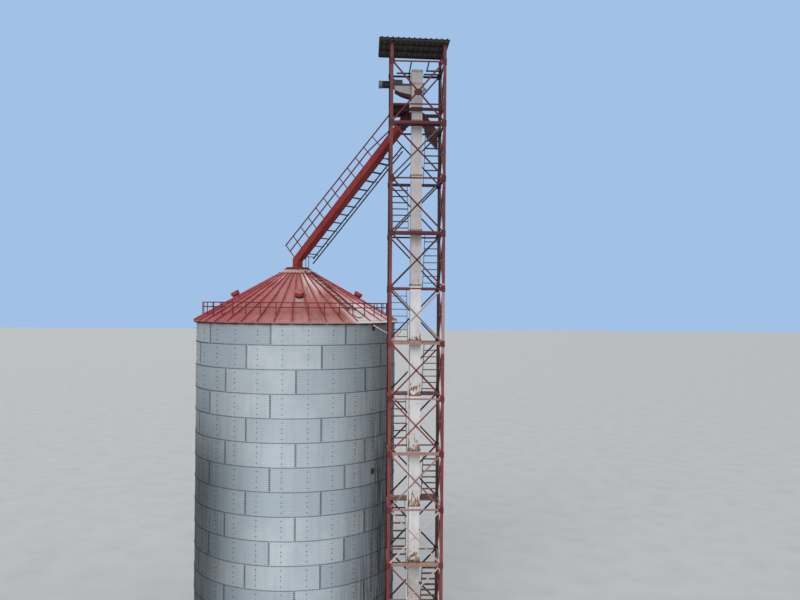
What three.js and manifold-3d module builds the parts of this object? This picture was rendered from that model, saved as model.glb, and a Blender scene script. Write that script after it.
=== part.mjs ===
// A grain silo with its bucket elevator tower. Millimetres, +Z up.
// The origin is on the silo's axis at ground level. Plan angles are in degrees from -Y, turning towards +X.
import * as THREE from 'three';
import { mergeVertices } from 'three/addons/utils/BufferGeometryUtils.js';
import Module from 'manifold-3d';

const wasm = await Module();
wasm.setup();

// Driving dimensions of the silo
const GAP = 0.3;
const SILO_RADIUS = 4125;
const SHEETS_AROUND = 9;
const STIFFENERS_PER_SHEET = 3;
const RING_HEIGHT = 912;
const RINGS = 14;
const WALL_THICKNESS = 30;
const FIRST_SEAM = -9.2;
const STIFFENER_WIDTH = 90;
const STIFFENER_DEPTH = 50;
const FOUNDATION_RADIUS = 4200;
const FOUNDATION_HEIGHT = 300;

// Driving dimensions of the roof
const EAVE_RADIUS = 4250;
const EAVE_DROP = 100;
const ROOF_PITCH = 29.3;
const ROOF_THICKNESS = 25;
const ROOF_QUADRANTS = 4;
const RIBS = 40;
const FIRST_RIB = 2;
const RIB_WIDTH = 45;
const RIB_HEIGHT = 50;
const PEAK_RADIUS = 500;
const PEAK_RING = [300, 560];
const PEAK_RING_THICKNESS = 20;
const CAP_RADIUS = 485;
const CAP_THICKNESS = 60;
const RAIL_RING_RADIUS = 3890;
const RAIL_POST_HEIGHT = 500;
const RAIL_MID_SHARE = 0.6;
const RAIL_SIZE = 38;
const RAIL_POST = 28;
const ACCESS_ANGLE = 42.5;
const LADDER_SPAN = [720, 3500];
const LADDER_WIDTH = 350;
const LADDER_RAIL = 40;
const LADDER_LIFT = 92;
const LADDER_RUNGS = 10;
const HATCH_RADIUS = 165;
const HATCH_HEIGHT = 90;
const HATCH_PLACE = 3820;
const VENT_ANGLE = 6.5;
const VENT_PLACE = 2500;
const VENT_NECK = { radius: 150, height: 90 };
const VENT_HOOD = { radius: 185, from: 75, to: 250 };
const VENTS = 4;

// Driving dimensions of the tower
const TOWER_X = 4765;
const TOWER_Y = -3570;
const TOWER_HALF = 1035;
const LEVEL_PITCH = 2040;
const FIRST_LEVEL = 2060;
const LEVELS = 10;
const TOP_BEAM = 22690;
const HEAD_LEVEL = 21110;
const LEG_TOP = 23340;
const LEG_WIDTH = 110;
const LEG_PLATE = 12;
const BRACE_INSET = 62;
const BRACE_DEPTH = 46;
const BRACE_HEIGHT = 60;
const DIAGONAL_WIDTH = 55;
const DIAGONAL_DEPTH = 30;
const DIAGONAL_ENDS = [0.02, 0.98];
const SLAB_THICKNESS = 150;
const SLAB_MARGIN = 60;

// Driving dimensions of the stairs
const RISERS = 8;
const TREAD_DEPTH = 150;
const TREAD_THICKNESS = 25;
const STRINGER_THICKNESS = 14;
const STRINGER_DEPTH = 140;
const LANDING_THICKNESS = 30;
const FRONT_LANDING_DEPTH = 425;
const REAR_LANDING_DEPTH = 425;
const LEFT_LANE = [3870, 4470];
const RIGHT_LANE = [5075, 5640];
const TREAD_INSET = 5;
const PLATFORM_BEAM = [60, 110];
const PLATFORM_SETBACK = 100;

// Driving dimensions of the bucket elevator
const TRUNK_X = [4555, 4955];
const TRUNK_Y = [-4080, -3600];
const TRUNK_SECTION = 2065;
const TRUNK_JOINTS = 10;
const TOP_JOINT = 20620;
const FLANGE_OVERHANG = 25;
const FLANGE_HEIGHT = 30;
const BOOT_TOP = 1130;
const BOOT_MARGIN = { left: 60, right: 40, ends: 160 };
const INLET_LENGTH = 380;
const INLET_HEIGHTS = [700, 1050, 1120];
const HEAD_BOTTOM = 21120;
const HEAD_SHOULDER = 22480;
const HEAD_TOP = 22570;
const HEAD_BEVEL = 150;
const HEAD_JOINT = 21982;
const HEAD_MARGIN = 10;
const HEAD_RIM = 20;
const SHAFT_Z = 21900;
const BEARING = { across: 260, height: 350, depth: 60 };
const SHAFT_END = { radius: 60, reach: 160 };

// Driving dimensions of the diverter, with the heights of its right-hand spout at three places
const DIVERTER_X = [4415, 5105];
const DIVERTER_Y = [-3570, -3225];
const DIVERTER_SHOULDER = 20980;
const DIVERTER_FORK = 20860;
const DIVERTER_THROAT = 150;
const OUTLET_FOOT = 20500;
const SPOUT_KNEE = [5165, 20154];
const SPOUT_END = { x: 5560, under: 19690, top: 20370 };
const COVER_THICKNESS = 20;
const COVER_RIM = 20;
const UNDER_DECK = 10;

// Driving dimensions of the drive, measured along X from its seat on the head
const DRIVE_Y = [-3750, -3430];
const BRACKET_TOP = 22000;
const BRACKET_UNDER = [[-590, -160], [-380, -243], [0, -322]];
const BRACKET_LENGTH = 625;
const STRUT_UNDER = [[0, -550], [-26, -456], [-342, -360], [-605, -215]];
const GEARBOX = { length: 725, low: 305, lowTop: 22090, top: 22235, flangeFoot: 21925, inset: 10 };
const MOTOR = { z: 22078, radius: 140, length: 365, cowlRadius: 150, cowlLength: 126 };

// Driving dimensions of the gallery from the tower to the silo's peak
const GALLERY_TURN = 37.75;
const GALLERY_PITCH = 43.4;
const CHUTE_WIDTH = 300;
const CHUTE_DEPTH = 283;
const CHUTE_TOP_AT_AXIS = 15747;
const STAIR_NEAR = -190;
const STAIR_FAR = -740;
const CHUTE_END = 5400;
const CHUTE_FLANGE = 20;
const FOOT_FLANGE = 12;
const STAIR_FOOT = 210;
const STAIR_NEAR_TOP = 4360;
const STAIR_FAR_TOP = 4869;
const STAIR_NEAR_LIFT = 271;
const STAIR_FAR_LIFT = [100, 43];
const STAIR_POST_SPACING = 180;
const STAIR_TO_LEG_EDGE = 10;
const BRANCH_LENGTH = 330;
const BRANCH_TAPER = 120;
const STAIR_TIE_STEP = 520;
const STAIR_CHORD = 40;
const CHORD_SPACING = 146;
const GALLERY_TREAD = 180;
const STAIR_TREADS = 12;
const STAIR_TREAD_STEP = 338;
const TOP_TREAD = 4130;
const RAIL_POSTS = 12;
const RAIL_POST_STEP = 415.5;
const TOP_POST = 4009;
const RAIL_HEIGHT_TOP = 560;
const RAIL_HEIGHT_FOOT = 710;

// Ties from the wall to the tower: name, height at the wall, height at the leg
const TIE_ANGLE = 50.8;
const TIE_PLATE = [160, 12, 230];
const TIE_PLATE_DROP = 80;
const TIE_LUG = [60, 50, 60];
const TIE_ROD = [45, 22];
const TIE_PAD = [12, 80, 110];
const TIE_SETBACK = 65;
const WALL_TIES = [
  ['wall_tie_upper', 12870, 12590],
  ['wall_tie_lower', 7250, 7060],
];

// Driving dimensions of the canopy
const CANOPY_X = [3300, 5910];
const CANOPY_Y = [-4830, -2500];
const CANOPY_RIB_PITCH = 200;
const CANOPY_RIB_HEIGHT = 32;
const CANOPY_SHEET = 8;
const CANOPY_FALL = 1.2;
const CANOPY_RIB = [65, 80, 120, 135];
const RAFTER_INSET = 40;
const PURLIN = 60;
const PURLIN_INSET = { ends: 25, sides: 60 };
const PURLIN_NOTCH = 5;
const PURLINS = 4;

const paint = (color, roughness, metalness) =>
  new THREE.MeshStandardMaterial({ color, roughness, metalness });
const materials = {
  concrete: paint(0x9a958c, 0.9, 0),
  galvanised: paint(0xa9b3bd, 0.5, 0.6),
  roof: paint(0x9b6a62, 0.7, 0.1),
  rail: paint(0x6b2f2c, 0.6, 0.1),
  tower: paint(0x7d4440, 0.6, 0.1),
  deck: paint(0x4d3431, 0.7, 0.1),
  casing: paint(0xb9b4ad, 0.6, 0.1),
  chute: paint(0x96302e, 0.55, 0.1),
  drive: paint(0x3b4146, 0.5, 0.3),
  canopy: paint(0x57504c, 0.7, 0.2),
  tie: paint(0xd4d2cc, 0.6, 0.2),
};

const silo = new THREE.Group();

// A named piece of the plant, from a geometry or a solid
function piece(name, shape, material) {
  const geometry = shape.isBufferGeometry ? shape : geometryOf(shape);
  const mesh = new THREE.Mesh(geometry, material);
  mesh.name = name;
  silo.add(mesh);
  return mesh;
}

// A closed geometry as a solid that can be joined and cut
function solidOf(geometry) {
  const bare = new THREE.BufferGeometry();
  bare.setAttribute('position', geometry.getAttribute('position'));
  if (geometry.index) bare.setIndex(geometry.index);
  const merged = mergeVertices(bare, 0.01);
  return new wasm.Manifold(new wasm.Mesh({
    numProp: 3,
    vertProperties: Float32Array.from(merged.getAttribute('position').array),
    triVerts: Uint32Array.from(merged.index.array),
  }));
}

function geometryOf(solid) {
  const mesh = solid.getMesh();
  const geometry = new THREE.BufferGeometry();
  geometry.setAttribute('position', new THREE.BufferAttribute(mesh.vertProperties, 3));
  geometry.setIndex(new THREE.BufferAttribute(mesh.triVerts, 1));
  geometry.computeVertexNormals();
  return geometry;
}

const joined = (geometries) => geometries.map(solidOf).reduce((sum, solid) => sum.add(solid));

// A box from its lowest to its highest corner
function block(low, high) {
  const size = high.map((value, axis) => value - low[axis]);
  const geometry = new THREE.BoxGeometry(...size);
  return geometry.translate(...high.map((value, axis) => (value + low[axis]) / 2));
}

// A straight bar of rectangular section, its width measured along the direction across
function bar(from, to, across, width, depth) {
  const start = new THREE.Vector3(...from);
  const axis = new THREE.Vector3(...to).sub(start);
  const length = axis.length();
  axis.normalize();
  const normal = new THREE.Vector3().crossVectors(axis, new THREE.Vector3(...across)).normalize();
  const side = new THREE.Vector3().crossVectors(normal, axis);
  const middle = start.clone().addScaledVector(axis, length / 2);
  const place = new THREE.Matrix4().makeBasis(side, normal, axis).setPosition(middle);
  return new THREE.BoxGeometry(width, depth, length).applyMatrix4(place);
}

// An outline of plan points pushed up from one height to another
function pillar(outline, low, high) {
  const shape = new THREE.Shape(outline.map(([x, y]) => new THREE.Vector2(x, y)));
  const options = { depth: high - low, bevelEnabled: false };
  return new THREE.ExtrudeGeometry(shape, options).translate(0, 0, low);
}

// An outline in the X and Z plane pushed along Y
function panelAlongY(outline, low, high) {
  const turned = pillar(outline, -high, -low);
  return turned.rotateX(Math.PI / 2);
}

// An outline in the Y and Z plane pushed along X
function panelAlongX(outline, low, high) {
  const turned = pillar(outline, low, high);
  const place = new THREE.Matrix4().makeBasis(
    new THREE.Vector3(0, 1, 0),
    new THREE.Vector3(0, 0, 1),
    new THREE.Vector3(1, 0, 0),
  );
  return turned.applyMatrix4(place);
}

const radians = (degrees) => THREE.MathUtils.degToRad(degrees);
const planPoint = (radius, angle) => [radius * Math.sin(radians(angle)), -radius * Math.cos(radians(angle))];
const tangent = (angle) => [Math.cos(radians(angle)), Math.sin(radians(angle)), 0];
const steps = (count) => Array.from({ length: count }, (_, index) => index);

// Heights that follow from the driving dimensions
const wallTop = FOUNDATION_HEIGHT + GAP + RINGS * RING_HEIGHT;
const eaveZ = wallTop - EAVE_DROP;
const roofSlope = Math.tan(radians(ROOF_PITCH));
const roofZ = (radius) => eaveZ + ROOF_THICKNESS + (EAVE_RADIUS - radius) * roofSlope;
const ribTop = (radius) => roofZ(radius) + RIB_HEIGHT / Math.cos(radians(ROOF_PITCH));
const ribAngle = 360 / RIBS;
const panelFold = Math.cos(radians(ribAngle / 2));

const wallCut = eaveZ + (EAVE_RADIUS - SILO_RADIUS / panelFold) * roofSlope - GAP;
const peakRingZ = ribTop(PEAK_RADIUS) + GAP;
const capZ = peakRingZ + PEAK_RING_THICKNESS + GAP;
const capTop = capZ + CAP_THICKNESS;

// Foundation
function foundation() {
  const disc = new THREE.CylinderGeometry(FOUNDATION_RADIUS, FOUNDATION_RADIUS, FOUNDATION_HEIGHT, 60);
  disc.rotateX(Math.PI / 2).translate(0, 0, FOUNDATION_HEIGHT / 2);
  piece('foundation', disc, materials.concrete);
}

// Wall: one curved stave per sheet around, with its stiffener columns on the inside
function wall() {
  const sheetAngle = 360 / SHEETS_AROUND;
  const columnAngle = sheetAngle / STIFFENERS_PER_SHEET;
  const chords = 8;
  const inner = SILO_RADIUS - WALL_THICKNESS;
  const seamGap = THREE.MathUtils.radToDeg(GAP / inner);
  const half = THREE.MathUtils.radToDeg(STIFFENER_WIDTH / 2 / inner);
  for (const sheet of steps(SHEETS_AROUND)) {
    const start = FIRST_SEAM + sheet * sheetAngle;
    const first = start + seamGap / 2;
    const span = sheetAngle - seamGap;
    const outline = steps(chords + 1).map((step) => planPoint(SILO_RADIUS, first + (span * step) / chords));
    outline.push(planPoint(inner, first + span));
    for (const column of steps(STIFFENERS_PER_SHEET).reverse()) {
      const centre = start + (column + 0.5) * columnAngle;
      outline.push(planPoint(inner, centre + half));
      outline.push(planPoint(inner - STIFFENER_DEPTH, centre + half));
      outline.push(planPoint(inner - STIFFENER_DEPTH, centre - half));
      outline.push(planPoint(inner, centre - half));
      const between = column > 0 ? centre - columnAngle / 2 : first;
      outline.push(planPoint(inner, between));
    }
    piece(`wall_sheet_${sheet + 1}`, pillar(outline, FOUNDATION_HEIGHT + GAP, wallCut), materials.galvanised);
  }
}

// Section across the roof at one radius: the top line and the underside, each from the first cut to the last
function roofSection(radius, ribs, cuts) {
  const half = THREE.MathUtils.radToDeg(Math.asin(RIB_WIDTH / 2 / radius));
  const at = (angle, z, share = 1) => [...planPoint(radius * share, angle), z];
  const base = roofZ(radius);
  const ends = cuts.map((angle) => [angle, panelFold]);
  const top = [at(ends[0][0], base, ends[0][1])];
  const under = [at(ends[0][0], base - ROOF_THICKNESS, ends[0][1])];
  for (const angle of ribs) {
    const [left, right] = [angle - half, angle + half];
    top.push(at(left, base), at(left, ribTop(radius)), at(right, ribTop(radius)), at(right, base));
    under.push(at(left, base - ROOF_THICKNESS), at(right, base - ROOF_THICKNESS));
  }
  top.push(at(ends[1][0], base, ends[1][1]));
  under.push(at(ends[1][0], base - ROOF_THICKNESS, ends[1][1]));
  return { top, under };
}

// Roof: quadrants of flat panels between raised ribs, lofted from the eave to the peak
function roof() {
  const ribsEach = RIBS / ROOF_QUADRANTS;
  const cutGap = THREE.MathUtils.radToDeg(GAP / 2 / PEAK_RADIUS);
  for (const quadrant of steps(ROOF_QUADRANTS)) {
    const ribs = steps(ribsEach).map((rib) => FIRST_RIB + (quadrant * ribsEach + rib) * ribAngle);
    const cuts = [ribs[0] - ribAngle / 2 + cutGap, ribs[ribsEach - 1] + ribAngle / 2 - cutGap];
    const sections = [EAVE_RADIUS, PEAK_RADIUS].map((radius) => roofSection(radius, ribs, cuts));
    const points = sections.flatMap(({ top, under }) => [...top, ...under]);
    const topCount = 4 * ribsEach + 2;
    const count = topCount + 2 * ribsEach + 2;
    const faces = [];
    const quad = (a, b, c, d) => faces.push(a, b, c, a, c, d);
    for (const step of steps(topCount - 1)) {
      quad(step, step + 1, count + step + 1, count + step);
    }
    for (const step of steps(count - topCount - 1)) {
      const first = topCount + step;
      quad(first, count + first, count + first + 1, first + 1);
    }
    for (const [start, turn] of [[0, 1], [count, -1]]) {
      const cap = (...corners) => {
        const [p, q, r, t] = corners.map((corner) => start + corner);
        if (turn > 0) quad(p, q, r, t);
        else quad(t, r, q, p);
      };
      for (const rib of steps(ribsEach)) {
        const top = 4 * rib;
        const under = topCount + 2 * rib;
        cap(under, under + 1, top + 1, top);
        cap(under + 1, under + 2, top + 4, top + 1);
        cap(top + 1, top + 4, top + 3, top + 2);
      }
      cap(count - 2, count - 1, topCount - 1, topCount - 2);
    }
    quad(0, count, count + topCount, topCount);
    quad(topCount - 1, count - 1, 2 * count - 1, count + topCount - 1);
    const geometry = new THREE.BufferGeometry();
    geometry.setAttribute('position', new THREE.Float32BufferAttribute(points.flat(), 3));
    geometry.setIndex(faces);
    piece(`roof_quadrant_${quadrant + 1}`, geometry, materials.roof);
  }
}

// A flat ring or disc around the silo's axis
function ringPlate(inner, outer, low, high) {
  const profile = [[inner, low], [outer, low], [outer, high], [inner, high]];
  const closing = inner > 0 ? [profile[0]] : [];
  const points = [...profile, ...closing].map(([radius, z]) => new THREE.Vector2(radius, z));
  return new THREE.LatheGeometry(points, 36).rotateX(Math.PI / 2);
}

function peak() {
  const [inner, outer] = PEAK_RING;
  piece('peak_ring', ringPlate(inner, outer, peakRingZ, peakRingZ + PEAK_RING_THICKNESS), materials.rail);
  const cap = new THREE.CylinderGeometry(CAP_RADIUS, CAP_RADIUS, CAP_THICKNESS, 36);
  piece('peak_cap', cap.rotateX(Math.PI / 2).translate(0, 0, capZ + CAP_THICKNESS / 2), materials.rail);
}

// Handrail ring near the eave, one post on each rib, in four arcs
function roofRail() {
  const ribsEach = RIBS / ROOF_QUADRANTS;
  const foot = ribTop(RAIL_RING_RADIUS - RAIL_POST / 2) + GAP;
  const top = foot + RAIL_POST_HEIGHT;
  const middle = foot + RAIL_POST_HEIGHT * RAIL_MID_SHARE;
  const cutGap = THREE.MathUtils.radToDeg(GAP / 2 / RAIL_RING_RADIUS);
  for (const quadrant of steps(ROOF_QUADRANTS)) {
    const posts = steps(ribsEach).map((rib) => FIRST_RIB + (quadrant * ribsEach + rib) * ribAngle);
    const bars = posts.map((angle) => {
      const [x, y] = planPoint(RAIL_RING_RADIUS, angle);
      return bar([x, y, foot], [x, y, top - RAIL_SIZE / 2], tangent(angle), RAIL_POST, RAIL_POST);
    });
    const ends = [posts[0] - ribAngle / 2 + cutGap, ...posts, posts[ribsEach - 1] + ribAngle / 2 - cutGap];
    for (const z of [middle, top - RAIL_SIZE / 2]) {
      const outline = ends.map((angle, place) => {
        const share = place % (ends.length - 1) === 0 ? panelFold : 1;
        return [angle, share];
      });
      const edge = (radius) => outline.map(([angle, share]) => planPoint(radius * share, angle));
      const outer = edge(RAIL_RING_RADIUS + RAIL_SIZE / 2);
      const inner = edge(RAIL_RING_RADIUS - RAIL_SIZE / 2);
      bars.push(pillar([...outer, ...inner.reverse()], z - RAIL_SIZE / 2, z + RAIL_SIZE / 2));
    }
    piece(`roof_rail_${quadrant + 1}`, joined(bars), materials.rail);
  }
}

// A place on a roof panel's middle line: distance out from the silo's axis and height above the panel
const panelMiddle = (radius) => radius * Math.cos(radians(ribAngle / 2) - Math.asin(RIB_WIDTH / 2 / radius));
const panelZ = (place) => {
  const [low, high] = [EAVE_RADIUS, PEAK_RADIUS].map(panelMiddle);
  return roofZ(EAVE_RADIUS) + ((roofZ(PEAK_RADIUS) - roofZ(EAVE_RADIUS)) * (low - place)) / (low - high);
};
const onPanel = (angle, place, lift) => [...planPoint(place, angle), panelZ(place) + lift];

// Ladder down one panel from the peak to the hatch, on feet that stand on the panel
function roofLadder() {
  const [high, low] = LADDER_SPAN;
  const half = LADDER_WIDTH / 2;
  const across = tangent(ACCESS_ANGLE);
  const shifted = (place, side, lift) => {
    const [x, y, z] = onPanel(ACCESS_ANGLE, place, lift);
    return [x + across[0] * side, y + across[1] * side, z];
  };
  const rails = [-half, half].map((side) =>
    bar(shifted(low, side, LADDER_LIFT), shifted(high, side, LADDER_LIFT), across, LADDER_RAIL, LADDER_RAIL));
  const rungs = steps(LADDER_RUNGS).map((rung) => {
    const place = high + ((rung + 0.5) * (low - high)) / LADDER_RUNGS;
    const ends = [-half, half].map((side) => shifted(place, side, LADDER_LIFT));
    return bar(...ends, [0, 0, 1], LADDER_RAIL * 0.6, LADDER_RAIL * 0.6);
  });
  const footHalf = LADDER_RAIL / 4;
  const onRibs = [1.5, 0.5].map((ribsAway) => {
    const turn = radians(ribsAway * ribAngle);
    return [half / Math.tan(turn), ribTop(half / Math.sin(turn) - footHalf)];
  });
  const lowest = low - 4 * footHalf;
  const seats = [...onRibs, [lowest, panelZ(lowest - footHalf)]];
  const feet = seats.flatMap(([place, seat]) => [-half, half].map((side) => {
    const [x, y, z] = shifted(place, side, LADDER_LIFT);
    return bar([x, y, seat + 4 * GAP], [x, y, z], across, 2 * footHalf, 2 * footHalf);
  }));
  piece('roof_ladder', joined([...rails, ...rungs, ...feet]), materials.rail);
}

// An upright drum with its foot in the origin, set down square to a roof panel
function setOnPanel(geometry, angle, place) {
  const tilt = Math.atan((panelZ(0) - panelZ(place)) / place);
  const [x, y, z] = onPanel(angle, place, 0);
  return geometry.rotateX(tilt).rotateZ(radians(angle)).translate(x, y, z);
}

function drum(radius, low, high) {
  const cylinder = new THREE.CylinderGeometry(radius, radius, high - low, 24);
  return cylinder.rotateX(Math.PI / 2).translate(0, 0, (low + high) / 2);
}

function roofHatch() {
  const hatch = drum(HATCH_RADIUS, GAP, HATCH_HEIGHT);
  piece('roof_hatch', setOnPanel(hatch, ACCESS_ANGLE, HATCH_PLACE), materials.tie);
}

// Round vents: a neck between two ribs and a wider hood over it
function roofVents() {
  for (const vent of steps(VENTS)) {
    const neck = drum(VENT_NECK.radius, GAP, VENT_NECK.height);
    const hood = drum(VENT_HOOD.radius, VENT_HOOD.from, VENT_HOOD.to);
    const angle = VENT_ANGLE + (vent * 360) / VENTS;
    const vented = setOnPanel(geometryOf(joined([neck, hood])), angle, VENT_PLACE);
    piece(`roof_vent_${vent + 1}`, vented, materials.roof);
  }
}

// Tower frame: levels from the slab up, the two beams at the head and the outer corner of each leg
const levels = steps(LEVELS).map((level) => FIRST_LEVEL + level * LEVEL_PITCH);
const towerLeft = TOWER_X - TOWER_HALF;
const towerRight = TOWER_X + TOWER_HALF;
const towerFront = TOWER_Y - TOWER_HALF;
const towerRear = TOWER_Y + TOWER_HALF;
const slabTop = SLAB_THICKNESS;
const braceOuter = towerRear - LEG_PLATE / 2 - (BRACE_DEPTH - DIAGONAL_DEPTH) / 2;
const bayEdges = [slabTop + BRACE_HEIGHT / 2 + GAP, ...levels, TOP_BEAM];

function towerSlab() {
  const low = [towerLeft - SLAB_MARGIN, towerFront - SLAB_MARGIN, 0];
  const high = [towerRight + SLAB_MARGIN, towerRear + SLAB_MARGIN, SLAB_THICKNESS];
  piece('tower_slab', block(low, high), materials.concrete);
}

// The canopy falls towards the right, so each leg ends under the lower edge of its rafter
const canopyFall = (x) => (TOWER_X - x) * Math.tan(radians(CANOPY_FALL));

// An angle-iron leg with its corner at the tower's outer corner
function leg(cornerX, cornerY) {
  const inX = Math.sign(TOWER_X - cornerX);
  const inY = Math.sign(TOWER_Y - cornerY);
  const top = LEG_TOP + Math.min(canopyFall(cornerX), canopyFall(cornerX + inX * PURLIN));
  const outline = [
    [0, 0],
    [LEG_WIDTH, 0],
    [LEG_WIDTH, LEG_PLATE],
    [LEG_PLATE, LEG_PLATE],
    [LEG_PLATE, LEG_WIDTH],
    [0, LEG_WIDTH],
  ];
  const placed = outline.map(([along, deep]) => [cornerX + inX * along, cornerY + inY * deep]);
  if (inX * inY < 0) placed.reverse();
  return pillar(placed, slabTop + GAP, top);
}

// One flat face of bracing between two edges: a level bar at each height and crossed diagonals in each bay
function bracing(pointAt, outward, skipped) {
  const [first, last] = DIAGONAL_ENDS;
  const levelBars = [...bayEdges, HEAD_LEVEL].map((z) =>
    bar(pointAt(0, z), pointAt(1, z), [0, 0, 1], BRACE_HEIGHT, BRACE_DEPTH));
  const diagonals = bayEdges.slice(1).flatMap((top, bay) => {
    const bottom = bayEdges[bay];
    const rising = bar(pointAt(first, bottom), pointAt(last, top), outward, DIAGONAL_DEPTH, DIAGONAL_WIDTH);
    const falling = bar(pointAt(first, top), pointAt(last, bottom), outward, DIAGONAL_DEPTH, DIAGONAL_WIDTH);
    return bay === skipped ? [falling] : [rising, falling];
  });
  return [...levelBars, ...diagonals];
}

function endFrame(name, y, cornerY, outward) {
  const left = towerLeft + BRACE_INSET;
  const right = towerRight - BRACE_INSET;
  const pointAt = (share, z) => [left + (right - left) * share, y, z];
  const legs = [leg(towerLeft, cornerY), leg(towerRight, cornerY)];
  const plates = joined([...legs, ...bracing(pointAt, [0, outward, 0], -1)]);
  piece(name, plates, materials.tower);
}

function sideBracing(name, x, outward, skipped) {
  const front = towerFront + LEG_PLATE + BRACE_DEPTH + GAP;
  const rear = towerRear - LEG_PLATE - BRACE_DEPTH - GAP;
  const pointAt = (share, z) => [x, front + (rear - front) * share, z];
  piece(name, joined(bracing(pointAt, [outward, 0, 0], skipped)), materials.tower);
}

function towerFrames() {
  const inset = LEG_PLATE / 2 + BRACE_DEPTH / 2;
  endFrame('tower_front_frame', towerFront + inset, towerFront, -1);
  endFrame('tower_rear_frame', towerRear - inset, towerRear, 1);
  const sideInset = LEG_PLATE + GAP + BRACE_DEPTH / 2;
  const galleryBay = LEVELS - 1;
  sideBracing('tower_left_bracing', towerLeft + sideInset, -1, galleryBay);
  sideBracing('tower_right_bracing', towerRight - sideInset, 1, -1);
}

// Inner faces of the bracing, which the landings and the platform are seated against
const innerLeft = towerLeft + LEG_PLATE + BRACE_DEPTH + 2 * GAP;
const innerRight = towerRight - LEG_PLATE - BRACE_DEPTH - 2 * GAP;
const innerFront = towerFront + LEG_PLATE / 2 + BRACE_DEPTH + GAP;
const innerRear = towerRear - LEG_PLATE / 2 - BRACE_DEPTH - GAP;

// One flight with the landing at its head; odd flights climb in the left lane towards the rear
function stairFlight(number) {
  const climbsBack = number % 2 === 1;
  const [laneLow, laneHigh] = climbsBack ? LEFT_LANE : RIGHT_LANE;
  const top = levels[number - 1];
  const bottom = number === 1 ? slabTop : levels[number - 2];
  const frontEdge = innerFront + FRONT_LANDING_DEPTH;
  const rearEdge = innerRear - REAR_LANDING_DEPTH;
  const startY = climbsBack ? frontEdge : rearEdge;
  const endY = climbsBack ? rearEdge : frontEdge;
  const rise = LEVEL_PITCH / RISERS;
  const run = (endY - startY) / RISERS;
  const stringers = [laneLow + STRINGER_THICKNESS / 2, laneHigh - STRINGER_THICKNESS / 2].map((x) => {
    const foot = [x, endY - run * (RISERS + 1), top - rise * (RISERS + 1)];
    const head = [x, endY + run / 2, top + rise / 2];
    return bar(foot, head, [1, 0, 0], STRINGER_THICKNESS, STRINGER_DEPTH);
  });
  const treads = steps(RISERS - 1).map((index) => {
    const y = endY - run * (index + 1);
    const z = top - rise * (index + 1);
    const low = [laneLow + TREAD_INSET, y - TREAD_DEPTH / 2, z - TREAD_THICKNESS];
    return block(low, [laneHigh - TREAD_INSET, y + TREAD_DEPTH / 2, z]);
  });
  const landing = climbsBack
    ? block([innerLeft, rearEdge, top - LANDING_THICKNESS], [innerRight, innerRear, top])
    : block([innerLeft, innerFront, top - LANDING_THICKNESS], [innerRight, frontEdge, top]);
  const reach = STRINGER_DEPTH * 3;
  const low = [laneLow - 1, Math.min(startY, endY) - reach, bottom + GAP];
  const high = [laneHigh + 1, Math.max(startY, endY) + reach, top];
  const flight = joined([...stringers, ...treads]).intersect(solidOf(block(low, high)));
  piece(`stair_flight_${number}`, flight.add(solidOf(landing)), materials.deck);
}

function headPlatform() {
  const low = HEAD_LEVEL - LANDING_THICKNESS;
  const [width, depth] = PLATFORM_BEAM;
  const beams = [TRUNK_Y[0] - depth, DIVERTER_Y[1] + width].map((y) =>
    block([innerLeft, y, low - depth], [innerRight, y + width, low + 1]));
  const deckRight = TRUNK_X[0] - PLATFORM_SETBACK;
  const deck = block([innerLeft + HEAD_RIM, innerFront, low], [deckRight, innerRear, HEAD_LEVEL]);
  piece('head_platform', joined([deck, ...beams]), materials.deck);
}

// Bucket elevator
function elevatorBoot() {
  const [left, right] = TRUNK_X;
  const [front, rear] = TRUNK_Y;
  const low = [left - BOOT_MARGIN.left, front - BOOT_MARGIN.ends, slabTop + GAP];
  const body = block(low, [right + BOOT_MARGIN.right, rear + BOOT_MARGIN.ends, BOOT_TOP]);
  const [foot, lip, rim] = INLET_HEIGHTS;
  const tip = right + INLET_LENGTH;
  const inlet = panelAlongY([[right, foot], [tip, lip], [tip, rim], [right, rim]], front, rear);
  piece('elevator_boot', joined([body, inlet]), materials.casing);
}

function collar(z, thickness) {
  const low = [TRUNK_X[0] - FLANGE_OVERHANG, TRUNK_Y[0] - FLANGE_OVERHANG, z - thickness / 2];
  return block(low, [TRUNK_X[1] + FLANGE_OVERHANG, TRUNK_Y[1] + FLANGE_OVERHANG, z + thickness / 2]);
}

function elevatorTrunk() {
  const tube = block([TRUNK_X[0], TRUNK_Y[0], BOOT_TOP + GAP], [TRUNK_X[1], TRUNK_Y[1], HEAD_BOTTOM - GAP]);
  const joints = steps(TRUNK_JOINTS).map((joint) => collar(TOP_JOINT - joint * TRUNK_SECTION, FLANGE_HEIGHT));
  const ends = [collar(BOOT_TOP + GAP + FLANGE_HEIGHT / 2, FLANGE_HEIGHT)];
  piece('elevator_trunk', joined([tube, ...joints, ...ends]), materials.casing);
}

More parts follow.
